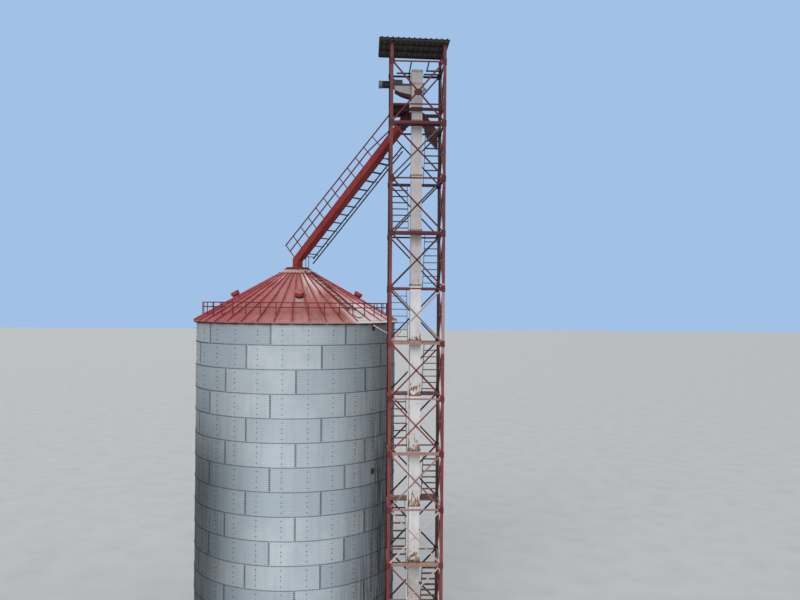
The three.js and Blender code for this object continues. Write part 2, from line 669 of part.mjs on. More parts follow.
function elevatorHead() {
  const [left, right] = [TRUNK_X[0] - HEAD_MARGIN, TRUNK_X[1] + HEAD_MARGIN];
  const [front, rear] = [TRUNK_Y[0] - HEAD_RIM, DIVERTER_Y[1] - HEAD_MARGIN];
  const outline = [
    [front, HEAD_BOTTOM],
    [rear, HEAD_BOTTOM],
    [rear, HEAD_SHOULDER],
    [rear - HEAD_BEVEL, HEAD_TOP],
    [front + HEAD_BEVEL, HEAD_TOP],
    [front, HEAD_SHOULDER],
  ];
  const hood = panelAlongX(outline, left, right);
  const low = [left - HEAD_RIM, front - HEAD_RIM, HEAD_JOINT - FLANGE_HEIGHT / 2];
  const joint = block(low, [right + HEAD_RIM, rear + HEAD_RIM, HEAD_JOINT + FLANGE_HEIGHT / 2]);
  const middle = (front + rear) / 2;
  const { across, height, depth } = BEARING;
  const bearing = block(
    [right - 1, middle - across / 2, SHAFT_Z - height / 2],
    [right + depth, middle + across / 2, SHAFT_Z + height / 2],
  );
  const shaft = lyingDrum(SHAFT_END.radius, right, right + SHAFT_END.reach).translate(0, middle, SHAFT_Z);
  piece('elevator_head', joined([hood, joint, bearing, shaft]), materials.casing);
}

// A drum along X from one end to the other
function lyingDrum(radius, left, right) {
  const cylinder = new THREE.CylinderGeometry(radius, radius, right - left, 24);
  return cylinder.rotateZ(Math.PI / 2).translate((left + right) / 2, 0, 0);
}

// Drive on the left of the head: a bracket over a strut, with the gearbox on top and the motor at its far end
function drive() {
  const headSide = TRUNK_X[0] - HEAD_MARGIN - GAP;
  const seat = headSide - HEAD_RIM;
  const [front, rear] = DRIVE_Y;
  const placed = (points, drop = 0) => points.map(([along, z]) => [seat + along, BRACKET_TOP + z - drop]);
  const bracket = [...placed([[0, 0], [-BRACKET_LENGTH, 0]]), ...placed(BRACKET_UNDER)];
  piece('drive_bracket', panelAlongY(bracket, front, rear), materials.casing);
  const [tip, belly, root] = placed(BRACKET_UNDER, 2 * GAP);
  const [foot, ...under] = placed(STRUT_UNDER);
  const strut = [tip, belly, root, [headSide, root[1]], [headSide, foot[1]], ...under];
  piece('drive_strut', panelAlongY(strut, front, rear), materials.drive);

  const { length, low, lowTop, top, flangeFoot, inset } = GEARBOX;
  const base = BRACKET_TOP + GAP;
  const far = seat - length;
  const housing = (from, to, bottom, ceiling) =>
    block([from, front + inset, bottom], [to, rear - inset, ceiling]);
  const boxes = [
    housing(far, seat - low, base, top),
    housing(seat - low - 1, seat, base, lowTop),
    housing(far, seat - BRACKET_LENGTH - GAP, flangeFoot, base + 1),
  ];
  piece('drive_gearbox', joined(boxes), materials.drive);
  const inner = far - GAP;
  const outer = inner - MOTOR.length;
  const shapes = [
    lyingDrum(MOTOR.radius, outer, inner),
    lyingDrum(MOTOR.cowlRadius, outer - MOTOR.cowlLength, outer + 1),
  ];
  const middle = (front + rear) / 2;
  piece('drive_motor', joined(shapes.map((shape) => shape.translate(0, middle, MOTOR.z))), materials.drive);
}

// Gallery: s runs from the silo's axis towards the tower, t towards the front side
const galleryAlong = [Math.cos(radians(GALLERY_TURN)), -Math.sin(radians(GALLERY_TURN))];
const galleryAside = [galleryAlong[1], -galleryAlong[0]];
const galleryPoint = (s, t, z) => [
  galleryAlong[0] * s + galleryAside[0] * t,
  galleryAlong[1] * s + galleryAside[1] * t,
  z,
];
const aside = [...galleryAside, 0];
const galleryRise = Math.tan(radians(GALLERY_PITCH));
const galleryCos = Math.cos(radians(GALLERY_PITCH));
const galleryChuteTop = (s) => CHUTE_TOP_AT_AXIS + galleryRise * s;
const galleryChuteUnder = (s) => galleryChuteTop(s) - CHUTE_DEPTH / galleryCos;

// An outline in the gallery's upright plane pushed sideways from one t to another
function galleryPanel(outline, low, high) {
  const turned = pillar(outline, low, high);
  const place = new THREE.Matrix4().makeBasis(
    new THREE.Vector3(...galleryAlong, 0),
    new THREE.Vector3(0, 0, 1),
    new THREE.Vector3(...aside),
  );
  return turned.applyMatrix4(place);
}

const chuteOutline = (start, end) => [
  [start, galleryChuteUnder(start)],
  [end, galleryChuteUnder(end)],
  [end, galleryChuteTop(end)],
  [start, galleryChuteTop(start)],
];

// A flange plate around the chute, upright across the gallery, from one s to another
function chuteFlange(start, end) {
  const rim = FLANGE_OVERHANG;
  const outline = chuteOutline(start, end).map(([s, z], corner) => [s, z + (corner < 2 ? -rim : rim)]);
  return galleryPanel(outline, -CHUTE_WIDTH / 2 - rim, CHUTE_WIDTH / 2 + rim);
}

function galleryChute() {
  const half = CHUTE_WIDTH / 2;
  const end = CHUTE_END - CHUTE_FLANGE / 2;
  const outline = [
    [-half, capTop + 2 * GAP],
    [half, capTop + 2 * GAP],
    [half, galleryChuteUnder(half)],
    [end, galleryChuteUnder(end)],
    [end, galleryChuteTop(end)],
    [-half, galleryChuteTop(-half)],
  ];
  const rim = half + FOOT_FLANGE;
  const footLow = capTop + GAP;
  const footHigh = footLow + CHUTE_FLANGE;
  const foot = [[-rim, footLow], [rim, footLow], [rim, footHigh], [-rim, footHigh]];
  const flange = chuteFlange(CHUTE_END - CHUTE_FLANGE, CHUTE_END);
  const shapes = [galleryPanel(outline, -half, half), galleryPanel(foot, -rim, rim), flange];
  piece('gallery_chute', joined(shapes), materials.chute);
}

// Two-way diverter under the head: its left branch feeds the chute, its right spout ends in a blank cover
function diverter() {
  const [left, right] = DIVERTER_X;
  const [front, rear] = DIVERTER_Y;
  const middle = (TRUNK_X[0] + TRUNK_X[1]) / 2;
  const neck = HEAD_BOTTOM - GAP;
  const outline = [
    [left, OUTLET_FOOT],
    [middle, DIVERTER_FORK],
    [right - DIVERTER_THROAT / 3, OUTLET_FOOT],
    SPOUT_KNEE,
    [SPOUT_END.x, SPOUT_END.under],
    [SPOUT_END.x, SPOUT_END.top],
    [right, DIVERTER_SHOULDER],
    [middle + DIVERTER_THROAT, neck],
    [middle - DIVERTER_THROAT, neck],
    [left, DIVERTER_SHOULDER],
  ];
  const cover = block(
    [SPOUT_END.x - 1, front - COVER_RIM, SPOUT_END.under - COVER_RIM],
    [SPOUT_END.x + COVER_THICKNESS, rear + COVER_RIM, SPOUT_END.top + COVER_RIM],
  );
  const start = CHUTE_END + GAP;
  const end = start + BRANCH_LENGTH;
  const branchLine = chuteOutline(start + CHUTE_FLANGE / 2, end);
  branchLine[2][1] -= BRANCH_TAPER;
  const shapes = [
    panelAlongY(outline, front, rear),
    galleryPanel(branchLine, -CHUTE_WIDTH / 2, CHUTE_WIDTH / 2),
    chuteFlange(start, start + CHUTE_FLANGE),
    cover,
  ];
  const lowest = HEAD_LEVEL - LANDING_THICKNESS - UNDER_DECK;
  const underDeck = solidOf(block([0, towerFront, 0], [towerRight, towerRear, lowest]));
  const throat = solidOf(block(
    [middle - DIVERTER_THROAT - 1, front, DIVERTER_SHOULDER],
    [middle + DIVERTER_THROAT + 1, rear, neck],
  ));
  piece('diverter', joined(shapes).intersect(underDeck.add(throat)), materials.chute);
}

// Stair beside the chute: ladder-built stringers, plain treads from the near one's lower chord to the far one
function galleryStair() {
  const chord = STAIR_CHORD;
  const slim = chord / 2;
  const arm = chord * 0.7;
  const lean = CHORD_SPACING * Math.sin(radians(GALLERY_PITCH)) / 2;
  const lineZ = (s) => galleryChuteUnder(s) - slim / galleryCos;
  const farLift = (s) => {
    const share = (s - STAIR_FOOT) / (STAIR_FAR_TOP - STAIR_FOOT);
    return STAIR_FAR_LIFT[0] + (STAIR_FAR_LIFT[1] - STAIR_FAR_LIFT[0]) * share;
  };
  const treadZ = (s) => lineZ(s) + farLift(s);
  const stringers = [
    { t: STAIR_NEAR, top: STAIR_NEAR_TOP, upper: (s) => lineZ(s) + STAIR_NEAR_LIFT },
    { t: STAIR_FAR, top: STAIR_FAR_TOP, upper: treadZ },
  ];
  const shapes = [];
  for (const { t, top, upper } of stringers) {
    const lower = (s) => upper(s) - CHORD_SPACING / galleryCos;
    for (const height of [upper, lower]) {
      const ends = [STAIR_FOOT, top].map((s) => galleryPoint(s, t, height(s)));
      shapes.push(bar(...ends, aside, chord, chord));
    }
    const tieCount = Math.round((top - STAIR_FOOT) / STAIR_TIE_STEP);
    for (const tie of steps(tieCount)) {
      const s = STAIR_FOOT + ((top - STAIR_FOOT) * (tie + 0.5)) / tieCount;
      const low = galleryPoint(s + lean, t, lower(s + lean));
      shapes.push(bar(low, galleryPoint(s - lean, t, upper(s - lean)), aside, slim, slim));
    }
  }
  const [far, near] = [STAIR_FAR + chord / 3, STAIR_NEAR - chord / 3];
  for (const tread of steps(STAIR_TREADS)) {
    const s = TOP_TREAD - tread * STAIR_TREAD_STEP;
    const [back, front] = [s - GALLERY_TREAD / 2, s + GALLERY_TREAD / 2];
    const [low, high] = [treadZ(s) - TREAD_THICKNESS / 2, treadZ(s) + TREAD_THICKNESS / 2];
    shapes.push(galleryPanel([[back, low], [front, low], [front, high], [back, high]], far, near));
  }
  const bearer = STAIR_FOOT + 2 * chord;
  for (const t of [STAIR_NEAR, STAIR_NEAR - STAIR_POST_SPACING]) {
    const ends = [capTop + GAP, treadZ(bearer)].map((z) => galleryPoint(bearer, t, z));
    shapes.push(bar(...ends, aside, slim, slim));
  }
  for (const s of [bearer, STAIR_NEAR_TOP - chord]) {
    const ends = [far, near].map((t) => galleryPoint(s, t, treadZ(s)));
    shapes.push(bar(...ends, [0, 0, 1], arm, arm));
  }
  const nearEnd = STAIR_NEAR_TOP - chord;
  const nearHead = galleryPoint(nearEnd, STAIR_NEAR, lineZ(nearEnd) + arm);
  const legEdge = towerRear - arm - STAIR_TO_LEG_EDGE;
  const toLeg = [[nearHead[0], legEdge, nearHead[2]], [towerLeft - GAP, legEdge, nearHead[2]]];
  shapes.push(bar(...toLeg, [0, 1, 0], arm, arm), bar(toLeg[0], nearHead, [1, 0, 0], slim, slim));
  const farHead = galleryPoint(STAIR_FAR_TOP - chord, STAIR_FAR, treadZ(STAIR_FAR_TOP - chord));
  const brace = [farHead[0], braceOuter + GAP, farHead[2]];
  shapes.push(bar(brace, farHead, [1, 0, 0], arm, arm));
  piece('gallery_stair', joined(shapes), materials.deck);
}

// A flat lattice in the gallery's upright plane, from four-cornered cells that share their edges
function latticePanel(cells, low, high) {
  const corners = new Map();
  const cornerOf = ([s, z]) => {
    const key = `${s.toFixed(2)},${z.toFixed(2)}`;
    if (!corners.has(key)) corners.set(key, { number: corners.size, place: [s, z] });
    return corners.get(key).number;
  };
  const loops = cells.map((cell) => cell.map(cornerOf));
  const edges = loops.flatMap((loop) => loop.map((corner, place) => [corner, loop[(place + 1) % 4]]));
  const known = new Set(edges.map(([from, to]) => `${from},${to}`));
  const count = corners.size;
  const faces = loops.flatMap(([a, b, c, d]) => [
    [a, b, c], [a, c, d],
    [count + a, count + c, count + b], [count + a, count + d, count + c],
  ]);
  for (const [from, to] of edges) {
    if (!known.has(`${to},${from}`)) faces.push([from, count + to, to], [from, count + from, count + to]);
  }
  const places = [...corners.values()].map(({ place }) => place);
  const points = [high, low].flatMap((t) => places.flatMap(([s, z]) => galleryPoint(s, t, z)));
  const geometry = new THREE.BufferGeometry();
  geometry.setAttribute('position', new THREE.Float32BufferAttribute(points, 3));
  geometry.setIndex(faces.flat());
  return geometry;
}

// Straight lines in the gallery's upright plane, used to find where posts and rails cross
const line = ([s1, z1], [s2, z2]) => ({ s: s1, z: z1, ds: s2 - s1, dz: z2 - z1 });

function beside({ s, z, ds, dz }, offset) {
  const length = Math.hypot(ds, dz);
  return { s: s - (dz / length) * offset, z: z + (ds / length) * offset, ds, dz };
}

function meet(a, b) {
  const share = ((b.s - a.s) * b.dz - (b.z - a.z) * b.ds) / (a.ds * b.dz - a.dz * b.ds);
  return [a.s + a.ds * share, a.z + a.dz * share];
}

// Handrail beside the chute: posts square to the slope, a top rail and a middle rail that bends to the tower
function galleryRail() {
  const half = RAIL_SIZE / 2;
  const t = CHUTE_WIDTH / 2 - half;
  const tower = (towerLeft + LEG_PLATE - galleryAside[0] * (t - half)) / galleryAlong[0];
  const sine = Math.sin(radians(GALLERY_PITCH));
  const posts = steps(RAIL_POSTS).reverse().map((post) => {
    const share = post / (RAIL_POSTS - 1);
    const height = RAIL_HEIGHT_TOP + (RAIL_HEIGHT_FOOT - RAIL_HEIGHT_TOP) * share;
    const s = TOP_POST - post * RAIL_POST_STEP + height * sine;
    const foot = [s, galleryChuteTop(s) + GAP / galleryCos];
    const head = [s - height * sine, foot[1] + height * galleryCos];
    return { foot, head, middle: [(foot[0] + head[0]) / 2, (foot[1] + head[1]) / 2] };
  });
  const [lowest, bend, highest] = [posts[0], posts[RAIL_POSTS - 2], posts[RAIL_POSTS - 1]];
  const bothEdges = (from, to) => [-half, half].map((offset) => beside(line(from, to), offset));
  const ground = line(lowest.foot, highest.foot);
  const top = bothEdges(lowest.head, highest.head);
  const middle = bothEdges(lowest.middle, bend.middle);
  const flatter = bothEdges(bend.middle, [tower, levels[LEVELS - 1]]);
  const side = (post, offset, rail) => {
    const edge = beside(line(post.foot, post.head), offset);
    return [ground, ...rail, ...top].map((other) => meet(edge, other));
  };
  const columns = posts.map((post) => ({
    left: side(post, RAIL_POST / 2, post === highest ? flatter : middle),
    right: side(post, -RAIL_POST / 2, post === highest || post === bend ? flatter : middle),
  }));
  const endColumn = (edge, rail) => [ground, ...rail, ...top].map((other) => meet(edge, other));
  const start = endColumn(beside(line(lowest.foot, lowest.head), half + RAIL_POST / 2), middle);
  const stop = endColumn(line([tower, 0], [tower, 1]), flatter);
  const upright = ({ left, right }) => steps(4).map((row) =>
    [left[row], right[row], right[row + 1], left[row + 1]]);
  const railCells = (from, to) => [1, 3].map((row) => [from[row], to[row], to[row + 1], from[row + 1]]);
  const sides = [start, ...columns.flatMap(({ left, right }) => [left, right]), stop];
  const bays = steps(RAIL_POSTS + 1).flatMap((bay) => railCells(sides[2 * bay], sides[2 * bay + 1]));
  const cells = [...columns.flatMap(upright), ...bays];
  piece('gallery_rail', latticePanel(cells, t - half, t + half), materials.rail);
}

// Ties from the silo's wall to the tower's nearest leg
function wallTies() {
  const legFace = towerLeft - GAP;
  const legY = towerRear - TIE_SETBACK;
  for (const [name, wallZ, legZ] of WALL_TIES) {
    const onWall = (size, out, z) => {
      const [x, y] = planPoint(SILO_RADIUS + out, TIE_ANGLE);
      return new THREE.BoxGeometry(...size).rotateZ(radians(TIE_ANGLE)).translate(x, y, z);
    };
    const plate = onWall(TIE_PLATE, GAP + TIE_PLATE[1] / 2, wallZ - TIE_PLATE_DROP);
    const lugOut = TIE_PLATE[1] - 2 + TIE_LUG[1] / 2;
    const lug = onWall(TIE_LUG, lugOut, wallZ);
    const [x, y] = planPoint(SILO_RADIUS + lugOut, TIE_ANGLE);
    const [thick, across, tall] = TIE_PAD;
    const rod = bar([x, y, wallZ], [legFace - thick / 2, legY, legZ], [0, 1, 0], ...TIE_ROD);
    const pad = block(
      [legFace - thick, legY - across / 2, legZ - tall / 2],
      [legFace, legY + across / 2, legZ + tall / 2],
    );
    piece(name, joined([plate, lug, rod, pad]), materials.tie);
  }
}

// Canopy over the head: rafters and purlins under one corrugated sheet, all tilted towards the right
function canopy() {
  const [left, right] = CANOPY_X;
  const [front, rear] = CANOPY_Y;
  const rafterZ = LEG_TOP + GAP;
  const tilted = (geometry) => {
    geometry.translate(-TOWER_X, 0, -rafterZ).rotateY(radians(CANOPY_FALL));
    return geometry.translate(TOWER_X, 0, rafterZ);
  };
  const rafters = [towerLeft, towerRight - PURLIN].map((x) =>
    block([x, front + RAFTER_INSET, rafterZ], [x + PURLIN, rear - RAFTER_INSET, rafterZ + PURLIN]));
  const { ends, sides } = PURLIN_INSET;
  const pitch = (rear - front - 2 * sides - PURLIN) / (PURLINS - 1);
  const purlinZ = rafterZ + PURLIN - PURLIN_NOTCH;
  const purlins = steps(PURLINS).map((place) => {
    const y = front + sides + place * pitch;
    return block([left + ends, y, purlinZ], [right - ends, y + PURLIN, purlinZ + PURLIN - PURLIN_NOTCH]);
  });
  piece('canopy_frame', geometryOf(joined([...rafters, ...purlins].map(tilted))), materials.canopy);
  const sheetZ = rafterZ + 2 * (PURLIN - PURLIN_NOTCH) + GAP;
  const ribs = Math.floor((right - left) / CANOPY_RIB_PITCH);
  const start = left + (right - left - ribs * CANOPY_RIB_PITCH) / 2;
  const upper = [[left, 0]];
  for (const rib of steps(ribs)) {
    const corners = CANOPY_RIB.map((along) => start + rib * CANOPY_RIB_PITCH + along);
    const heights = [0, CANOPY_RIB_HEIGHT, CANOPY_RIB_HEIGHT, 0];
    upper.push(...corners.map((x, place) => [x, heights[place]]));
  }
  upper.push([right, 0]);
  const outline = [
    ...upper.map(([x, z]) => [x, sheetZ + z]),
    ...upper.reverse().map(([x, z]) => [x, sheetZ + z + CANOPY_SHEET]),
  ];
  piece('canopy_sheet', tilted(panelAlongY(outline, front, rear)), materials.canopy);
}

foundation();
wall();
roof();
peak();
roofRail();
roofLadder();
roofHatch();
roofVents();
wallTies();
towerSlab();
towerFrames();
steps(LEVELS).forEach((level) => stairFlight(level + 1));
headPlatform();
elevatorBoot();
elevatorTrunk();
elevatorHead();
diverter();
drive();
galleryChute();
galleryStair();
galleryRail();
canopy();

export default silo;
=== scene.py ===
# %% [markdown]
# # A grain silo and its elevator tower
# A galvanised silo stands beside a lattice tower that carries a bucket elevator, its drive and a zigzag
# stair. The construction, with every size, comes in as a fixed frame. This lesson dresses it:
# corrugated sheets, bolts, angle iron and weathered finishes, each built in code. Lengths are metres,
# +Z is up, and the origin is on the silo's axis at ground level. Plan angles are degrees from -Y,
# turning towards +X.

# %% Load the frame
import math

import bpy
import numpy as np
from mathutils import Matrix, Vector


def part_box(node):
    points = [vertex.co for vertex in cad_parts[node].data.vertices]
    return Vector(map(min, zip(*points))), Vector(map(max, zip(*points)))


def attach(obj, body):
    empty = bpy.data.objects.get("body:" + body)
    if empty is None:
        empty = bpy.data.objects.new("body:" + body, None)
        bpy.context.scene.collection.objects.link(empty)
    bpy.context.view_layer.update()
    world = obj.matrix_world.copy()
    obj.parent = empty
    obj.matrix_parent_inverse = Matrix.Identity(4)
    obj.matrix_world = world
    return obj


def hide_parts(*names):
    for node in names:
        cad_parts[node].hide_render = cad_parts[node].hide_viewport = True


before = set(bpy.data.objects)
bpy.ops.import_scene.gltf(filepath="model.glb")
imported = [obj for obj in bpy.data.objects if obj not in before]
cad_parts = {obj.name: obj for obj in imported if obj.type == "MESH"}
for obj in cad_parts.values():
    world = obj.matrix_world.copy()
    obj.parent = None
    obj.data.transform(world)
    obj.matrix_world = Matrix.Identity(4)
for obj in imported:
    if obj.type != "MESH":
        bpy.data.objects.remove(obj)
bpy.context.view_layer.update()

# %% [markdown]
# ## Camera
# A camera is easiest to trust when it is placed where the photographer stood: here about 34 m in front
# of the tower and level with the middle of the silo. It looks almost level, so the uprights stay
# upright. Its axes are written out as a matrix because the picture also leans by less than half a
# degree.

# %% Camera
EYE = Vector((2.862, -34.017, 13.7))
YAW = math.radians(2.5)
PITCH = 0.0058
ROLL = 0.0078
FOCAL_LENGTH = 36.0
SENSOR = 36.0
VIEW_DEPTH = 900


def camera_axes():
    right = Vector((math.cos(YAW), -math.sin(YAW), 0))
    level = Vector((math.sin(YAW), math.cos(YAW), 0))
    forward = level * math.cos(PITCH) + Vector((0, 0, math.sin(PITCH)))
    up = right.cross(forward)
    rolled_right = right * math.cos(ROLL) + up * math.sin(ROLL)
    rolled_up = up * math.cos(ROLL) - right * math.sin(ROLL)
    return rolled_right, rolled_up, -forward


camera = bpy.data.objects.new("camera", bpy.data.cameras.new("camera"))
camera.data.lens = FOCAL_LENGTH
camera.data.sensor_width = SENSOR
camera.data.clip_end = VIEW_DEPTH
camera.matrix_world = Matrix.Translation(EYE) @ Matrix(camera_axes()).transposed().to_4x4()
bpy.context.scene.collection.objects.link(camera)
bpy.context.scene.camera = camera
print("camera at", tuple(round(value, 2) for value in EYE))

# %% [markdown]
# ## Wiring nodes in code
# Materials, the world and Geometry Nodes are all graphs. One small helper adds a node, sets its options
# and plugs in its inputs, so each graph below reads from its first texture to its output. A Wire stands
# for a number on its way through a graph, and ordinary sums with wires add the maths nodes that work
# them out.

# %% Node helper
class Wire:
    """A number, a vector or a geometry on its way through a node tree."""

    def __init__(self, tree, socket):
        self.tree = tree
        self.socket = socket

    def __add__(self, other):
        return maths("ADD", self, other)

    def __sub__(self, other):
        return maths("SUBTRACT", self, other)

    def __rsub__(self, other):
        return maths("SUBTRACT", other, self)

    def __mul__(self, other):
        return maths("MULTIPLY", self, other)

    def __truediv__(self, other):
        return maths("DIVIDE", self, other)

    def between(self, low, high):
        """The value's share of the way from low to high, clamped; low may be the larger one."""
        return wire(self.tree, "ShaderNodeMapRange", {"Value": self, "From Min": low, "From Max": high})

    def spread(self, low, high):
        """Low where the value is 0 and high where it is 1."""
        return wire(self.tree, "ShaderNodeMapRange", {"Value": self, "To Min": low, "To Max": high})


def add_node(tree, kind, inputs=None, **options):
    node = tree.nodes.new(kind)
    for option, value in options.items():
        setattr(node, option, value)
    for key, value in (inputs or {}).items():
        if isinstance(value, Wire):
            tree.links.new(value.socket, node.inputs[key])
        else:
            node.inputs[key].default_value = value
    return node


def wire(tree, kind, inputs=None, output=0, **options):
    """A new node's output, given by its number or name."""
    return Wire(tree, add_node(tree, kind, inputs, **options).outputs[output])


def maths(operation, first, second=0.0):
    tree = first.tree if isinstance(first, Wire) else second.tree
    return wire(tree, "ShaderNodeMath", {0: first, 1: second}, operation=operation)


def largest(first, *others):
    for other in others:
        first = maths("MAXIMUM", first, other)
    return first


def srgb(red, green, blue):
    """A colour as seen on a screen, 0 to 255, as the linear colour that shaders use."""
    def linear(value):
        share = value / 255
        return share / 12.92 if share <= 0.04045 else ((share + 0.055) / 1.055) ** 2.4
    return (linear(red), linear(green), linear(blue), 1.0)


# %% [markdown]
# ## Light
# The plant stood under a bright, hazy sky with the light behind the photographer. Wide sun lamps give
# soft shadows and light a tall object evenly from foot to top, which a lamp at a studio's distance
# would not. Most of the sky's light comes from overhead, so undersides and the inside of the lattice
# stay dark.

# %% Light
SUNS = {
    "key": ((-0.20, -1.0, 0.42), 2.95, 60, (1.0, 0.98, 0.95)),
    "side": ((1.0, -0.25, 0.45), 0.35, 50, (0.88, 0.94, 1.0)),
    "behind": ((-0.35, 1.0, 0.70), 1.7, 60, (0.95, 0.97, 1.0)),
}
BACKDROP = srgb(162, 193, 230)
HORIZON_STRENGTH = 0.10
ZENITH_STRENGTH = 0.75

for name, (towards, strength, spread, colour) in SUNS.items():
    light = bpy.data.lights.new(name, "SUN")
    light.energy = strength
    light.angle = math.radians(spread)
    light.color = colour
    holder = bpy.data.objects.new(name, light)
    holder.rotation_euler = Vector(towards).to_track_quat("Z", "Y").to_euler()
    bpy.context.scene.collection.objects.link(holder)

world = bpy.data.worlds.new("hazy sky")
world.use_nodes = True
sky = world.node_tree
sky.nodes.clear()
direction = wire(sky, "ShaderNodeTexCoord", output="Generated")
height = wire(sky, "ShaderNodeSeparateXYZ", {0: direction}, "Z")
strength = wire(sky, "ShaderNodeMapRange", {
    "Value": height, "From Min": 0.0, "From Max": 0.9, "To Min": HORIZON_STRENGTH, "To Max": ZENITH_STRENGTH,
})
daylight = wire(sky, "ShaderNodeBackground", {"Color": srgb(226, 236, 250), "Strength": strength})
backdrop = wire(sky, "ShaderNodeBackground", {"Color": BACKDROP, "Strength": 1.0})
seen = wire(sky, "ShaderNodeLightPath", output="Is Camera Ray")
mixed = wire(sky, "ShaderNodeMixShader", {0: seen, 1: daylight, 2: backdrop})
add_node(sky, "ShaderNodeOutputWorld", {"Surface": mixed})
bpy.context.scene.world = world
bpy.context.scene.view_settings.view_transform = "Standard"
print("suns:", ", ".join(SUNS))

# %% [markdown]
# ## Finishes
# Every finish here starts from the same idea: a base colour, a slow variation of it, then the layers
# that weather adds, such as dust on faces that look up, streaks that run down and rust in specks. A
# Finish keeps the graph of one material and offers those layers by name.

# %% Finish builder
class Finish:
    """One procedural material on Object coordinates, built up layer by layer."""

    def __init__(self, name, colour, roughness=0.6, metallic=0.0, specular=0.5):
        self.material = bpy.data.materials.new(name)
        self.material.use_nodes = True
        self.tree = self.material.node_tree
        self.shader = self.tree.nodes["Principled BSDF"]
        sheen = {"Roughness": roughness, "Metallic": metallic, "Specular IOR Level": specular}
        for label, value in sheen.items():
            self.shader.inputs[label].default_value = value
        self.place = self.node("ShaderNodeTexCoord", output="Object")
        self.colour = srgb(*colour)
        self.bumps = None

    def node(self, kind, inputs=None, output=0, **options):
        return wire(self.tree, kind, inputs, output, **options)

    def noise(self, scale, detail=4.0, stretch=(1, 1, 1), place=None):
        mapped = self.node("ShaderNodeMapping", {"Vector": place or self.place, "Scale": stretch})
        return self.node("ShaderNodeTexNoise", {"Vector": mapped, "Scale": scale, "Detail": detail}, "Fac")

    def cells(self, scale):
        return self.node("ShaderNodeTexVoronoi", {"Vector": self.place, "Scale": scale}, "Color")

    def attribute(self, name):
        return self.node("ShaderNodeAttribute", output="Fac", attribute_name=name)

    def along(self, axis):
        return self.node("ShaderNodeSeparateXYZ", {0: self.place}, axis)

    def plan_angle(self):
        """Degrees from -Y, turning towards +X."""
        return maths("ARCTAN2", self.along("X"), self.along("Y") * -1.0) * (180 / math.pi)

    def plan_radius(self):
        squares = [maths("POWER", maths("ABSOLUTE", self.along(axis)), 2.0) for axis in "XY"]
        return maths("SQRT", squares[0] + squares[1])

    def polar(self):
        """The plan angle, the plan radius and nothing as one vector, for patterns that run down a cone."""
        return self.node("ShaderNodeCombineXYZ", {"X": self.plan_angle(), "Y": self.plan_radius()})

    def facing_up(self):
        normal = self.node("ShaderNodeTexCoord", output="Normal")
        return self.node("ShaderNodeSeparateXYZ", {0: normal}, "Z")

    def lot(self, number):
        """A fixed random share for each whole number."""
        return self.node("ShaderNodeTexWhiteNoise", {"W": number}, "Value", noise_dimensions="1D")

    def mix(self, share, colour, **options):
        inputs = {0: share, 6: self.colour, 7: colour}
        self.colour = self.node("ShaderNodeMix", inputs, 2, data_type="RGBA", **options)

    def layer(self, share, colour):
        """Another colour over what is there, where share is high."""
        self.mix(share, srgb(*colour))

    def shade(self, share, darkest):
        """Darkens what is there towards the given share of itself."""
        self.mix(share, (darkest, darkest, darkest, 1), blend_type="MULTIPLY")

    def feed(self, label, value):
        self.tree.links.new(value.socket, self.shader.inputs[label])

    def rough(self, share, low, high):
        self.feed("Roughness", share.spread(low, high))

    def dull(self, share):
        """Takes the sheen away where share is high."""
        for label in ("Metallic", "Specular IOR Level"):
            self.feed(label, share.spread(self.shader.inputs[label].default_value, 0))

    def bump(self, height, distance, strength=0.5):
        inputs = {"Height": height, "Distance": distance, "Strength": strength}
        if self.bumps:
            inputs["Normal"] = self.bumps
        self.bumps = self.node("ShaderNodeBump", inputs)

    def done(self):
        self.feed("Base Color", self.colour)
        if self.bumps:
            self.feed("Normal", self.bumps)
        print(self.material.name + ":", len(self.tree.nodes), "nodes")
        return self.material


# %% Brushed paint
RUST = (112, 62, 38)
UPPER_PAINTED_SHADE = (12.5, 16.5)


def painted(name, colour, faded, dust, rust_share=0.3, dust_share=0.5, roughness=0.6, primer_and_shade_colour=None):
    """Brushed oil paint on steel: faded in patches, dusty on top, with rust coming through in specks."""
    finish = Finish(name, colour, roughness, specular=0.3)
    finish.layer(finish.noise(0.55, 5.0).between(0.42, 0.68), faded)
    finish.shade(finish.noise(7.0, 6.0, (1, 1, 0.35)).between(0.5, 0.75), 0.62)
    if primer_and_shade_colour:
        # Painted shade: the tower's paint is darker higher up.
        finish.shade(finish.along("Z").between(*UPPER_PAINTED_SHADE), 0.62)
        # Dark primer on some members, which also stands for painted shade inside the lattice.
        finish.layer(finish.attribute("primer_and_shade"), primer_and_shade_colour)
        finish.layer(finish.attribute("dust"), dust)
    settled = finish.facing_up().between(0.3, 0.9) * finish.noise(3.0).between(0.3, 0.6)
    finish.layer(settled * dust_share, dust)
    specks = finish.noise(18.0, 8.0).between(0.74 - 0.2 * rust_share, 0.8 - 0.2 * rust_share)
    finish.layer(specks, RUST)
    finish.rough(finish.noise(11.0, 5.0), roughness - 0.12, roughness + 0.22)
    finish.bump(finish.noise(160.0, 3.0), 0.0008, 0.35)
    finish.bump(specks, 0.0006, 0.5)
    return finish.done()
